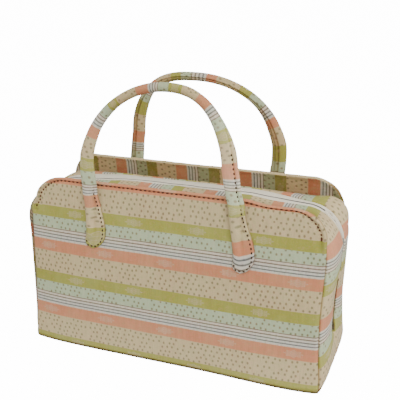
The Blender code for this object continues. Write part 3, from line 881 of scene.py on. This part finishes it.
def gusset_place(way, side, y, drop=0.0, creased=True):
    """A point of the strip's outer face at a distance from the middle plane."""
    x, z, out_x, out_z, bulge, power, fold, leg = ridge(way)
    seam_x, seam_z, seam_y = sewn_edge(way, side)
    y = min(y, seam_y)
    away = min(1.0, max(0.0, y) / seam_y) ** power
    if side < 0 and x > 0.0:
        fold *= 1.20
    rise = bulge - fold * max(0.0, 1.0 - max(0.0, y) / FOLD_REACH) ** 1.5
    level = rise + end_relief(way, side * y, side, leg) * smooth(4.0 * (1.0 - y / seam_y))
    if leg == "corner" and side > 0 and x > 0.0:
        share = way_point(way, RIDGE_CORNER_RADIUS)[5]
        level += read_table(SQUARE_TABLE, share)[0] * smooth(y / 0.024)
    if creased and leg == "end":
        depth, slit = crease(x, z, side)
        level -= depth * math.exp(-(max(0.0, y - slit) / 0.0026) ** 0.9)
    point_x = mix(x + out_x * level, seam_x, away) - out_x * drop
    point_z = mix(z + out_z * level, seam_z, away) - out_z * drop
    return point_x, side * y, point_z


# Columns of a strip: share of the width, drop at the zip, drop in the slit, painted shade in the slit and
# along the sewn edge
GUSSET_SECTION = (
    (0.000, 0.0021, 0.0075, 0.12), (0.002, 0.0014, 0.0048, 0.14), (0.006, 0.0007, 0.0024, 0.17),
    (0.014, 0.0002, 0.0010, 0.24), (0.028, 0.0, 0.0003, 0.50), (0.05, 0.0, 0.0, 0.80),
    (0.08, 0.0, 0.0, 0.93),
    *((share, 0.0, 0.0, 1.0) for share in (0.105, 0.13, 0.16, 0.19, 0.23, 0.29, 0.37, 0.45, 0.53, 0.61,
                                           0.69, 0.76, 0.82, 0.87, 0.91, 0.945)),
    (0.97, 0.0, 0.0, 0.90),
    (0.985, 0.0004, 0.0004, 0.50), (1.0, 0.0015, 0.0015, 0.22),
)


def painted_gusset_shading(way, y, side):
    """Painted shade on the strip: behind the standing faces, in the crease, beside the lip and at the foot;
    painted light on the right end.
    """
    x, z = ridge_line(way)
    start = 0.011 if side < 0 else 0.020
    behind = ease(z, 0.146, 0.003) * smooth((y - start) / 0.012)
    painted_shading = (1.0 - (0.36 if side < 0 else 0.50) * behind) * painted_foot_shadow(z - 0.0004)
    # Painted shade in the gaping crease at the right end of the back strip
    if x > 0.0 and side > 0 and z < 0.095:
        reach = read_table(GAPING_TABLE, z)[0]
        painted_shading *= 1.0 - 0.86 * (1.0 - smooth((y - reach - 0.0014) / 0.0016)) * smooth(reach / 0.001)
    # Painted light on the right end
    if x > 0.100:
        painted_shading *= 1.0 + 0.22 * ease(x, 0.125, 0.015)
    # Painted shade on the left end of the front strip, beside the front face
    if x < 0.0 and side < 0:
        beside = ease(y, 0.028, 0.012) * (1.0 - ease(z, 0.149, 0.003))
        painted_shading *= 1.0 - 0.50 * beside * mix(0.85, 1.0, ease(z, 0.104, 0.010))
    return painted_shading


def gusset_cycle(way, y):
    """Cycles along the strip; on the ends the bands sink towards the seams."""
    z = ridge_line(way)[1]
    sink = max(0.0, 0.0013 + 0.089 * (0.125 - z)) if z < 0.1396 else 0.0
    sink *= min(1.0, y / 0.048) ** 1.3
    way += sink if way < WAY / 2.0 else -sink
    for number, (low, high) in enumerate(zip(ORANGE_STARTS, ORANGE_STARTS[1:])):
        if way <= high:
            break
    return 20.0 + ORANGE_END - (number + (way - low) / (high - low))


def make_gusset(name, side, material, slot, nodes):
    skin = Skin()
    ways = [WAY * step / GUSSET_STEPS for step in range(GUSSET_STEPS + 1)]
    ways += [-0.0025, -0.0012, WAY + 0.0012, WAY + 0.0025]
    near = zip_end_way()
    ways += [near + step * 0.0005 for step in range(-12, 4)]
    ways += [WAY - near + step * 0.0005 for step in range(-3, 13)]
    ways = sorted(set(round(way, 6) for way in ways))
    outer, inner, marks = [], [], []
    for way in ways:
        edge, opened = gusset_edge(way, side)
        seam_y = sewn_edge(way, side)[2]
        below = 1.0 - ease(ridge_line(way)[1], 0.033, 0.005)
        face, back, mark = [], [], []
        for share, zip_drop, slit_drop, painted_slit_shade in GUSSET_SECTION:
            y = mix(edge, seam_y, share)
            drop = mix(slit_drop, zip_drop, opened)
            face.append(gusset_place(way, side, y, drop))
            back.append(gusset_place(way, side, y, max(drop, 0.0002) + CLOTH_THICKNESS))
            # Painted shade: dark in the slit, a little darker along the edge by the tape, and dark along the
            # sewn edge
            painted_shading = mix(painted_slit_shade, mix(0.7, 1.0, smooth(share / 0.006)), max(opened, below))
            if share > 0.9:
                painted_shading = painted_slit_shade
            mark.append((y * side, gusset_cycle(way, y), painted_shading * painted_gusset_shading(way, y, side)))
        outer.append(face)
        inner.append(back)
        marks.append(mark)
    skin.strip(outer, inner, marks)
    item = skin.build(name, material)
    settle(item, slot, *nodes)
    return item


# Columns of a tape: share of its width, drop below the strip's face
TAPE_SECTION = ((0.000, 0.0026), (0.012, 0.0020), (0.030, 0.0013), (0.060, 0.00095), (0.11, 0.0009),
                (0.20, 0.0009), (0.34, 0.0009), (0.50, 0.0009), (0.66, 0.0010), (0.82, 0.0011),
                (0.95, 0.0012), (1.03, 0.0014), (1.10, 0.0018))


def make_tape(name, side, nodes):
    skin = Skin()
    low = zip_end_way() - 0.002
    outer, inner, marks = [], [], []
    for step in range(TAPE_STEPS + 1):
        way = mix(low, WAY - low, step / TAPE_STEPS)
        x, z = ridge_line(way)
        narrow = mix(0.10, 1.0, smooth((min(way, WAY - way) - low) / 0.006))
        middle = zip_middle(x)
        reach = tape_reach(x, z, side) * narrow
        face, back, mark = [], [], []
        for share, drop in TAPE_SECTION:
            away = 0.00032 + reach * share
            y = side * away + middle
            own = 1 if y >= 0.0 else -1
            face.append(gusset_place(way, own, abs(y), drop, False))
            back.append(gusset_place(way, own, abs(y), drop + TAPE_THICKNESS, False))
            mark.append((away, way, 1.0))
        outer.append(face)
        inner.append(back)
        marks.append(mark)
    skin.strip(outer, inner, marks)
    return settle(skin.build(name, tape_cloth), "zip_white", *nodes)


make_gusset("front_gusset_cloth", -1, cloth, "cloth_cream", ("front_gusset",))
make_gusset("back_gusset_cloth", 1, cloth, "cloth_cream", ("back_gusset",))
make_tape("front_tape", -1, ("front_zip_tape",))
make_tape("back_tape", 1, ("back_zip_tape",))


# Carrying loops
LEG_WIDTH = 0.0140
LEG_THICKNESS = 0.0068
CORD_DIAMETER = 0.0084
PAD_THICKNESS = 0.0019
TIP_RADIUS = 0.0115
LEFT_TIP_LIFT = 0.0026
# Stitches of the tongues: pitch, distance in from the edge and how high they go on each leg
TONGUE_STITCH_PITCH = 0.0040
STITCH_INSET = 0.0024
STITCH_TOPS = {-1: 0.168, 1: 0.214}
FRONT_LOOP = dict(half_span=0.0700, rise=0.0865, power=2.15, leg_sway=-0.0090, top_sway=0.0010)
BACK_LOOP = dict(half_span=0.0750, rise=0.0808, power=2.4, leg_sway=0.0040, top_sway=-0.0080)
# Borders of the bands along each loop: millimetres from the left tip, cycle
FRONT_BANDS = (
    (0, 21.155), (22.8, 21.0), (44.0, 20.682), (56.4, 20.509), (66.8, 20.326), (79.2, 20.161),
    (91.6, 20.0), (112.2, 19.682), (123.4, 19.509), (136.8, 19.326), (177.8, 18.682), (189.7, 18.509),
    (199.2, 18.326), (208.5, 18.161), (220.5, 18.0), (235.2, 17.682), (247.1, 17.509), (258.7, 17.326),
    (268.5, 17.161), (280.0, 17.0), (297.6, 16.682), (311.4, 16.509), (321.9, 16.326), (333.5, 16.161),
    (344.5, 16.0), (367.2, 15.682), (380.7, 15.509), (399.5, 15.335),
)
BACK_BANDS = (
    (0, 9.3), (47.0, 10.0), (73.8, 10.326), (83.1, 10.509), (95.6, 10.682), (113.7, 11.0), (129.1, 11.161),
    (170.5, 12.0), (181.1, 12.161), (191.5, 12.326), (206.9, 12.509), (217.1, 12.682), (241.3, 13.0),
    (252.7, 13.161), (268.2, 13.326), (281.0, 13.509), (290.3, 13.682), (308.1, 14.0), (324.3, 14.161),
    (334.7, 14.326), (375.0, 15.0), (402.4, 15.4),
)
# Height: how far the leg stands to the right of its plain line
LEG_SHIFT = ((0.1045, 0.0), (0.110, 0.0012), (0.118, 0.0032), (0.126, 0.0040), (0.138, 0.0040),
             (0.150, 0.0030), (0.160, 0.0022), (0.172, 0.0014), (0.185, 0.0002), (0.198, -0.0009),
             (0.215, 0.0))
# Height: half width of the tongue, half width of its core, core's shift from the flange
TONGUE_TABLE = ((0.1045, 0.0095, 0.0046, 0.0028), (0.118, 0.0097, 0.0047, 0.0042),
                (0.134, 0.0094, 0.0049, 0.0040), (0.146, 0.0083, 0.0053, 0.0027),
                (0.156, 0.0076, 0.0058, 0.0015), (0.168, 0.0071, 0.0066, 0.0004),
                (0.180, 0.0070, 0.0069, 0.0))
# Height: how far the sewn edge stands out from the leg, on the left and right legs
FLANGE_TABLE = ((0.138, 0.0, 0.0), (0.150, 0.0016, 0.0026), (0.164, 0.0020, 0.0022),
                (0.178, 0.0008, 0.0008), (0.192, 0.0002, 0.0010), (0.212, 0.0, 0.0016),
                (0.226, 0.0, 0.0010), (0.240, 0.0, 0.0))
# Share of the loop's length: turn of the seam round the cord, in degrees
FRONT_SEAM = ((0.0, 38), (0.22, 38), (0.34, -30), (0.50, -90), (0.62, -180), (0.72, -222), (1.0, -222))
BACK_SEAM = ((0.0, -104), (0.22, -104), (0.36, -96), (0.48, -84), (0.62, -78), (0.75, -82), (0.85, -92),
             (1.0, -96))


def loop_path(half_span, rise, power, leg_sway, top_sway):
    points = []
    for step in range(41):
        share = step / 40.0
        z = mix(TONGUE_TIP_HEIGHT, ARCH_SPRING_HEIGHT, share)
        points.append((-mix(ROOT_HALF_SPAN, half_span, smooth(share)), z))
    for step in range(1, 160):
        angle = math.pi * step / 160.0
        cosine, sine = math.cos(angle), math.sin(angle)
        x = -half_span * signed_power(cosine, 2.0 / power)
        points.append((x, ARCH_SPRING_HEIGHT + rise * sine ** (2.0 / power)))
    points += [(-x, z) for x, z in points[40::-1]]
    swayed = []
    for x, z in points:
        low = smooth((z - TONGUE_TIP_HEIGHT) / (PANEL_HEIGHT - TONGUE_TIP_HEIGHT))
        high = max(0.0, (z - ARCH_SPRING_HEIGHT) / rise) ** 3
        swayed.append((x + leg_sway * mix(0.33, 1.0, low) + (top_sway - leg_sway) * high, z))
    return even_steps(swayed, 0.0014)


def even_steps(points, step):
    """The same line with points at even distances."""
    runs = run_lengths(points)
    count = round(runs[-1] / step)
    wanted = np.linspace(0.0, runs[-1], count + 1)
    columns = [np.interp(wanted, runs, [point[axis] for point in points]) for axis in (0, 1)]
    return list(zip(columns[0].tolist(), columns[1].tolist()))


def leg_depth(x, z, thickness):
    """Distance of a loop's middle line from the middle plane of the bag."""
    over = smooth((z - 0.86 * PANEL_HEIGHT) / (0.09 * PANEL_HEIGHT)) * 0.0022
    lean = (BASE_DEPTH - TOP_DEPTH) / 2.0 / PANEL_HEIGHT
    y = panel_face(x, min(z, PANEL_HEIGHT)) + 0.0003 + over + thickness / 2.0
    return y - lean * max(0.0, z - PANEL_HEIGHT)


def turn_between(first, second):
    return (first - second + math.pi) % math.tau - math.pi


def leg_place(x, z, side, end):
    """A point of the loop's plain line, moved to where the leg really stands."""
    x += read_table(LEG_SHIFT, z)[0] * (1.0 if side < 0 else -1.0)
    if side < 0 and end < 0:
        z += LEFT_TIP_LIFT * (1.0 - ease(z, TONGUE_TIP_HEIGHT, 0.045))
    elif side < 0:
        x += 0.0020 * bell(z, 0.165, 0.012)
    return x, z


def front_loop_light(z, end):
    """The legs catch the light, the right one most, and the arch turns from it."""
    leg = mix(1.05, 1.36, ease(z, 0.140, 0.030)) if end > 0 else 1.14
    return mix(leg, 0.90, ease(z, 0.232, 0.02))


def back_loop_light(share, off_seam, roundness):
    """The sewn edge beyond the seam lies in shade, which changes sides along the loop."""
    turned = mix(-1.0, 1.0, ease(share, 0.30, 0.12))
    beyond = 1.0 - 0.24 * smooth(off_seam * turned / 0.20) * abs(turned) * roundness
    rim = bell(off_seam * turned, 0.50, 0.09)
    return beyond * (1.0 - 0.40 * rim * abs(turned) * roundness)


def make_loop(name, side, shape, bands, seam, nodes):
    """Tongue, leg, round cord, leg and tongue of one carrying loop, with its sewn edge."""
    points = loop_path(**shape)
    top_z = max(z for _, z in points)
    runs = run_lengths(points)
    sides = 56
    skin = Skin()
    rings, marks = [], []
    stitched = {-1: [], 1: []}
    around_tip = {-1: [], 1: []}
    for number, (x, z) in enumerate(points):
        before = points[max(0, number - 1)]
        after = points[min(len(points) - 1, number + 1)]
        along = Vector((after[0] - before[0], 0.0, after[1] - before[1])).normalized()
        normal = Vector((along.z, 0.0, -along.x))
        end = -1 if runs[number] < runs[-1] / 2.0 else 1
        # the flange lies to the right of the front loop's legs and to the left of the back loop's
        right = 1.0 if end < 0 else -1.0
        flange_way = right if side < 0 else -right
        x, z = leg_place(x, z, side, end)
        from_tip = min(runs[number], runs[-1] - runs[number])
        tip = clamp(from_tip / TIP_RADIUS)
        round_tip = math.sqrt(max(0.0, 1.0 - (1.0 - tip) ** 2))
        pad_half, core_half, core_shift = read_table(TONGUE_TABLE, z)
        pad_half *= max(0.05, round_tip)
        core_half = min(core_half, pad_half * 0.98)
        core_shift = min(core_shift, pad_half - core_half)
        core_rise = mix(0.0044, LEG_THICKNESS, ease(z, 0.118, 0.05))
        core_rise *= smooth(from_tip / 0.017)
        up = smooth((z - 0.184) / (0.90 * (top_z - 0.184)))
        roundness = ease(z, 0.150, 0.030)
        thickness = mix(0.0036, LEG_THICKNESS, ease(z, TONGUE_TIP_HEIGHT, 0.067))
        thickness = mix(thickness, CORD_DIAMETER, up)
        y_middle = leg_depth(x, z, thickness)
        bottom = y_middle - thickness / 2.0
        half_w = mix(LEG_WIDTH, CORD_DIAMETER, up) / 2.0
        wobble = 1.0 + 0.035 * ripple(runs[number], side * 0.3, 0.0, 45.0, 4.0)
        if (side < 0) == (end > 0):
            wobble *= 1.0 + (0.15 if side < 0 else 0.22) * bell(z, 0.226, 0.022)
        half_w *= wobble
        half_t = thickness / 2.0 * wobble
        flange = read_table(FLANGE_TABLE, z)[0 if end < 0 else 1]
        seam_turn = math.radians(read_table(seam, runs[number] / runs[-1])[0])
        seam_shade = 0.26 if side < 0 else 0.62
        seam_depth = 1.0
        if side < 0 and end < 0:
            seam_depth = 1.0 - 0.85 * ease(z, 0.166, 0.012) * (1.0 - ease(z, 0.215, 0.02))
        flare = 0.0014 * bell(z, 0.123, 0.014) * smooth(from_tip / 0.008)
        ring, mark = [], []
        for step in range(sides):
            angle = math.tau * (step + 0.5) / sides
            cosine, sine = math.cos(angle), math.sin(angle)
            # the flat tongue with its raised core beside the flange
            q = signed_power(cosine, 0.8)
            flat_n = q * pad_half + flange_way * flare * max(0.0, q * flange_way)
            sideways = abs(flat_n * flange_way + core_shift) / max(core_half, 1e-5)
            core = core_rise * max(0.0, 1.0 - sideways ** 2.4) ** 0.55
            if sine >= 0.0:
                edge = (1.0 - min(1.0, abs(q)) ** 7) ** 0.5
                pad = PAD_THICKNESS * max(0.3, smooth(from_tip / 0.004)) * edge
                flat_y = bottom + max(pad, core) + 0.12 * min(pad, core)
            else:
                flat_y = bottom + 0.0002
            # the oval leg and round cord with the sewn edge
            off_flange = turn_between(angle, 0.0 if flange_way > 0.0 else math.pi)
            swell = flange * bell(off_flange, 0.0, 0.42)
            off_seam = turn_between(angle, seam_turn)
            groove = bell(off_seam, 0.0, 0.12)
            cut = 0.0007 * groove - 0.0003 * bell(abs(off_seam), 0.30, 0.14)
            cut *= seam_depth
            round_n = cosine * (half_w + swell - cut * roundness)
            round_y = y_middle + sine * (half_t - cut * roundness)
            place_n = mix(flat_n, round_n, roundness)
            place_y = mix(flat_y, round_y, roundness)
            ring.append((x + normal.x * place_n, side * place_y, z + normal.z * place_n))
            curl = 0.0042 * (1.0 - ease(z, 0.118, 0.014)) * (q * q if sine >= 0.0 else 1.0)
            reach = runs[number] + (-curl if end < 0 else curl)
            cycle = read_table(bands, 1000.0 * clamp(reach, 0.0, runs[-1]))[0]
            painted_shading = 1.0 - seam_shade * seam_depth * groove * roundness
            if side > 0:
                painted_shading *= back_loop_light(runs[number] / runs[-1], off_seam, roundness)
            else:
                painted_shading *= front_loop_light(z, end)
            # the cord turns away from the light on its lower side
            painted_shading *= 1.0 - 0.10 * smooth(cosine * along.x * 1.2) * up
            # Painted shade on the underside that lies against the bag
            if sine < 0.0:
                painted_shading *= 0.9
            # a line of shade where the core meets the flange
            foot = bell(sideways, 1.0, 0.10) * (1.0 - roundness) * smooth(from_tip / 0.02)
            edge_shade = ease(abs(q), 0.94, 0.05) * (1.0 - roundness)
            mark.append((angle * 0.0045 + 0.0214 + 0.002 * math.sin(runs[number] * 40.0), cycle,
                         painted_shading * (1.0 - 0.22 * foot) * (1.0 - 0.55 * edge_shade)))
        rings.append(ring)
        extra = (math.tau * 0.0045 + mark[0][0], mark[0][1], mark[0][2])
        marks.append(mark + [extra])
        flat_reach = pad_half - STITCH_INSET
        turn = math.radians(50.0)
        round_reach = half_w * math.cos(turn)
        round_out = y_middle + half_t * math.sin(turn) - bottom
        if z < STITCH_TOPS[end] and from_tip > 0.0016:
            n = mix(max(0.0, flat_reach + flare), round_reach, roundness) * flange_way
            out = mix(PAD_THICKNESS + 0.0001, round_out, roundness)
            stitched[end].append(Vector((x + normal.x * n, side * (bottom + out), z + normal.z * n)))
            if from_tip < 0.011:
                n = -max(0.0, flat_reach) * flange_way
                around_tip[end].append(Vector((x + normal.x * n, side * (bottom + PAD_THICKNESS + 0.0001),
                                               z + normal.z * n)))
    skin.tube(rings, marks)
    item = skin.build(name, cloth)
    settle(item, "cloth_cream", *nodes)
    tongue_stitches(name + "_left_stitches", side, stitched[-1][::-1] + around_tip[-1])
    tongue_stitches(name + "_right_stitches", side, stitched[1] + around_tip[1][::-1])


def tongue_stitches(name, side, line):
    runs = run_lengths(line)
    count = int(runs[-1] / TONGUE_STITCH_PITCH)
    table = [(run, *point) for run, point in zip(runs, line)]
    out = Vector((0.0, float(side), 0.0))
    places = []
    for number in range(count):
        run = runs[-1] * (number + 0.5) / count
        here = Vector(read_table(table, run))
        there = Vector(read_table(table, run + 0.0004))
        along = (there - here).normalized()
        places.append((here + out * 0.0001, along, out))
    skin = Skin()
    capsule_row(skin, places, 0.0011, 0.00072)
    return settle(skin.build(name, thread_brown), "cloth_cream")


make_loop("front_loop", -1, FRONT_LOOP, FRONT_BANDS, FRONT_SEAM, ("front_handle",))
make_loop("back_loop", 1, BACK_LOOP, BACK_BANDS, BACK_SEAM, ("back_handle",))


# Bottom, in the faces' cloth
def make_bottom():
    skin = Skin()
    rings, marks = [], []
    for level, inset in ((0.0, 0.0046), (0.0003, 0.0034), (0.0010, 0.0028), (0.0030, 0.0026)):
        ring, mark = [], []
        for step in range(240):
            angle = math.tau * step / 240.0
            cosine, sine = math.cos(angle), math.sin(angle)
            half_x = half_length(0.003) - inset + 0.0022
            half_y = half_depth(0.003) + PANEL_SWELL - inset
            power = 0.13
            x = half_x * signed_power(cosine, power)
            y = half_y * signed_power(sine, power)
            limit = panel_face(x, 0.003) - inset
            y = max(-limit, min(limit, y))
            ring.append((x, y, level))
            mark.append((x, y / STRIPE_PERIOD + 0.3, 1.0))
        rings.append(ring)
        marks.append(mark + [mark[0]])
    skin.tube(rings, marks)
    return settle(skin.build("bottom_cloth", cloth), "cloth_cream", "base")


make_bottom()


# Slider and its tab, flat on the tapes
SLIDER_WAY = WAY - LEG - ARC * 53.0 / 90.0
# Distance along the zip, half width, lowest and highest level above the tapes, in millimetres
PLATE_SECTIONS = (
    (-4.6, 0.9, -0.3, 0.3), (-4.4, 1.7, -0.4, 0.7), (-3.9, 2.5, -0.4, 0.95), (-2.8, 3.05, -0.4, 1.1),
    (-1.4, 3.2, -0.4, 1.2), (0.0, 3.0, -0.4, 1.25), (1.4, 2.7, -0.4, 1.2), (2.8, 2.4, -0.4, 1.1),
    (3.9, 2.0, -0.4, 0.95), (4.4, 1.4, -0.4, 0.7), (4.6, 0.7, -0.3, 0.3),
)
BRIDGE_SECTIONS = (
    (-2.9, 0.55, 0.9, 1.15), (-2.6, 0.75, 0.9, 1.7), (-1.9, 0.80, 1.3, 2.2), (-0.8, 0.80, 1.6, 2.45),
    (0.5, 0.80, 1.6, 2.45), (1.6, 0.80, 1.3, 2.2), (2.2, 0.75, 0.9, 1.7), (2.5, 0.55, 0.9, 1.15),
)
TAB_SECTIONS = (
    (3.2, 0.5, 0.85, 1.35), (3.5, 1.1, 0.75, 1.45), (5.2, 1.2, 0.3, 1.05), (6.4, 1.25, 0.1, 0.85),
    (7.2, 1.7, 0.1, 0.85), (8.4, 2.1, 0.1, 0.85), (11.0, 2.2, 0.1, 0.85), (14.0, 2.3, 0.1, 0.85),
    (17.0, 2.4, 0.1, 0.85), (18.4, 2.1, 0.1, 0.85), (19.2, 1.4, 0.1, 0.8), (19.5, 0.5, 0.2, 0.6),
)
PLATE_STEP = 0.5


def zip_point(run, across, level):
    """A point above the tapes, from distances in millimetres."""
    side = 1 if across >= 0.0 else -1
    return gusset_place(SLIDER_WAY + run / 1000.0, side, abs(across) / 1000.0, 0.0009 - level / 1000.0, False)


def add_plate(skin, sections, turns=20):
    rings, marks = [], []
    stations = []
    for before, after in zip(sections, sections[1:]):
        pieces = max(1, round((after[0] - before[0]) / PLATE_STEP))
        stations += [mix(before[0], after[0], piece / pieces) for piece in range(pieces)]
    stations.append(sections[-1][0])
    for run in stations:
        half, low, high = read_table(sections, run)
        ring, mark = [], []
        for turn in range(turns):
            angle = math.tau * (turn + 0.5) / turns
            cosine, sine = math.cos(angle), math.sin(angle)
            across = half * signed_power(cosine, 0.45)
            level = mix(low, high, 0.5 + 0.5 * signed_power(sine, 0.45))
            ring.append(zip_point(run, across, level))
            mark.append((across * 0.001, run * 0.001, 1.0))
        rings.append(ring)
        marks.append(mark)
    skin.tube(rings, marks)


def make_slider():
    skin = Skin()
    add_plate(skin, PLATE_SECTIONS)
    add_plate(skin, BRIDGE_SECTIONS, 12)
    settle(skin.build("slider_body", white_enamel, 35.0), "slider_white", "zip_slider")
    skin = Skin()
    add_plate(skin, TAB_SECTIONS)
    settle(skin.build("slider_tab", white_enamel, 35.0), "slider_white", "zip_pull")


make_slider()


# Camera at the photograph's viewing angle
FOCAL_SHARE = 721.35 / 400.0
CAMERA_PLACE = Vector((0.24396, -0.60222, 0.38266))
AZIMUTH, ELEVATION, ROLL = (math.radians(value) for value in (20.874, 19.879, -0.467))
back_way = Vector((math.sin(AZIMUTH) * math.cos(ELEVATION), -math.cos(AZIMUTH) * math.cos(ELEVATION),
                   math.sin(ELEVATION)))
right_way = Vector((math.cos(AZIMUTH), math.sin(AZIMUTH), 0.0))
up_way = back_way.cross(right_way)
rolled_right = right_way * math.cos(ROLL) + up_way * math.sin(ROLL)
rolled_up = up_way * math.cos(ROLL) - right_way * math.sin(ROLL)
camera_data = bpy.data.cameras.new("camera")
camera_data.sensor_width = 36.0
camera_data.lens = 36.0 * FOCAL_SHARE
camera = bpy.data.objects.new("camera", camera_data)
camera.matrix_world = Matrix.Translation(CAMERA_PLACE) @ Matrix(
    (rolled_right, rolled_up, back_way)).transposed().to_4x4()
bpy.context.scene.collection.objects.link(camera)
bpy.context.scene.camera = camera


# Floor and light
def make_floor():
    mesh = bpy.data.meshes.new("floor")
    reach = 6.0
    mesh.from_pydata([(-reach, -reach, 0.0), (reach, -reach, 0.0), (reach, reach, 0.0),
                      (-reach, reach, 0.0)], [], [(0, 1, 2, 3)])
    mesh.materials.append(Nodes("floor_paper").settings(
        {"Base Color": (0.92, 0.92, 0.915, 1.0), "Emission Color": (1.0, 1.0, 1.0, 1.0),
         "Emission Strength": 14.0, "Roughness": 0.9, "Specular IOR Level": 0.1}))
    floor = bpy.data.objects.new("floor", mesh)
    floor.visible_diffuse = False
    floor.visible_glossy = False
    bpy.context.scene.collection.objects.link(floor)


# Lamps: name, place, where they point, size, power, colour
LAMPS = (("key", (0.75, -0.95, 1.35), (0.0, 0.0, 0.1), 0.9, 20.8, (1.0, 0.97, 0.935)),
         ("fill", (-1.3, -1.0, 0.9), (0.0, 0.0, 0.1), 1.4, 6.5, (1.0, 0.985, 0.965)),
         ("side", (1.5, -0.1, 0.8), (0.1, 0.0, 0.1), 1.0, 7.6, (1.0, 0.98, 0.955)))


def add_area(name, place, target, size, energy, color):
    data = bpy.data.lights.new(name, "AREA")
    data.shape = "DISK"
    data.size = size
    data.energy = energy
    data.color = color
    lamp = bpy.data.objects.new(name, data)
    lamp.location = place
    direction = Vector(target) - Vector(place)
    lamp.rotation_euler = direction.to_track_quat("-Z", "Y").to_euler()
    bpy.context.scene.collection.objects.link(lamp)


make_floor()
for lamp in LAMPS:
    add_area(*lamp)
world = bpy.data.worlds.new("studio")
bpy.context.scene.world = world
world.use_nodes = True
world.node_tree.nodes["Background"].inputs[0].default_value = (1.0, 0.985, 0.96, 1.0)
world.node_tree.nodes["Background"].inputs[1].default_value = 0.70
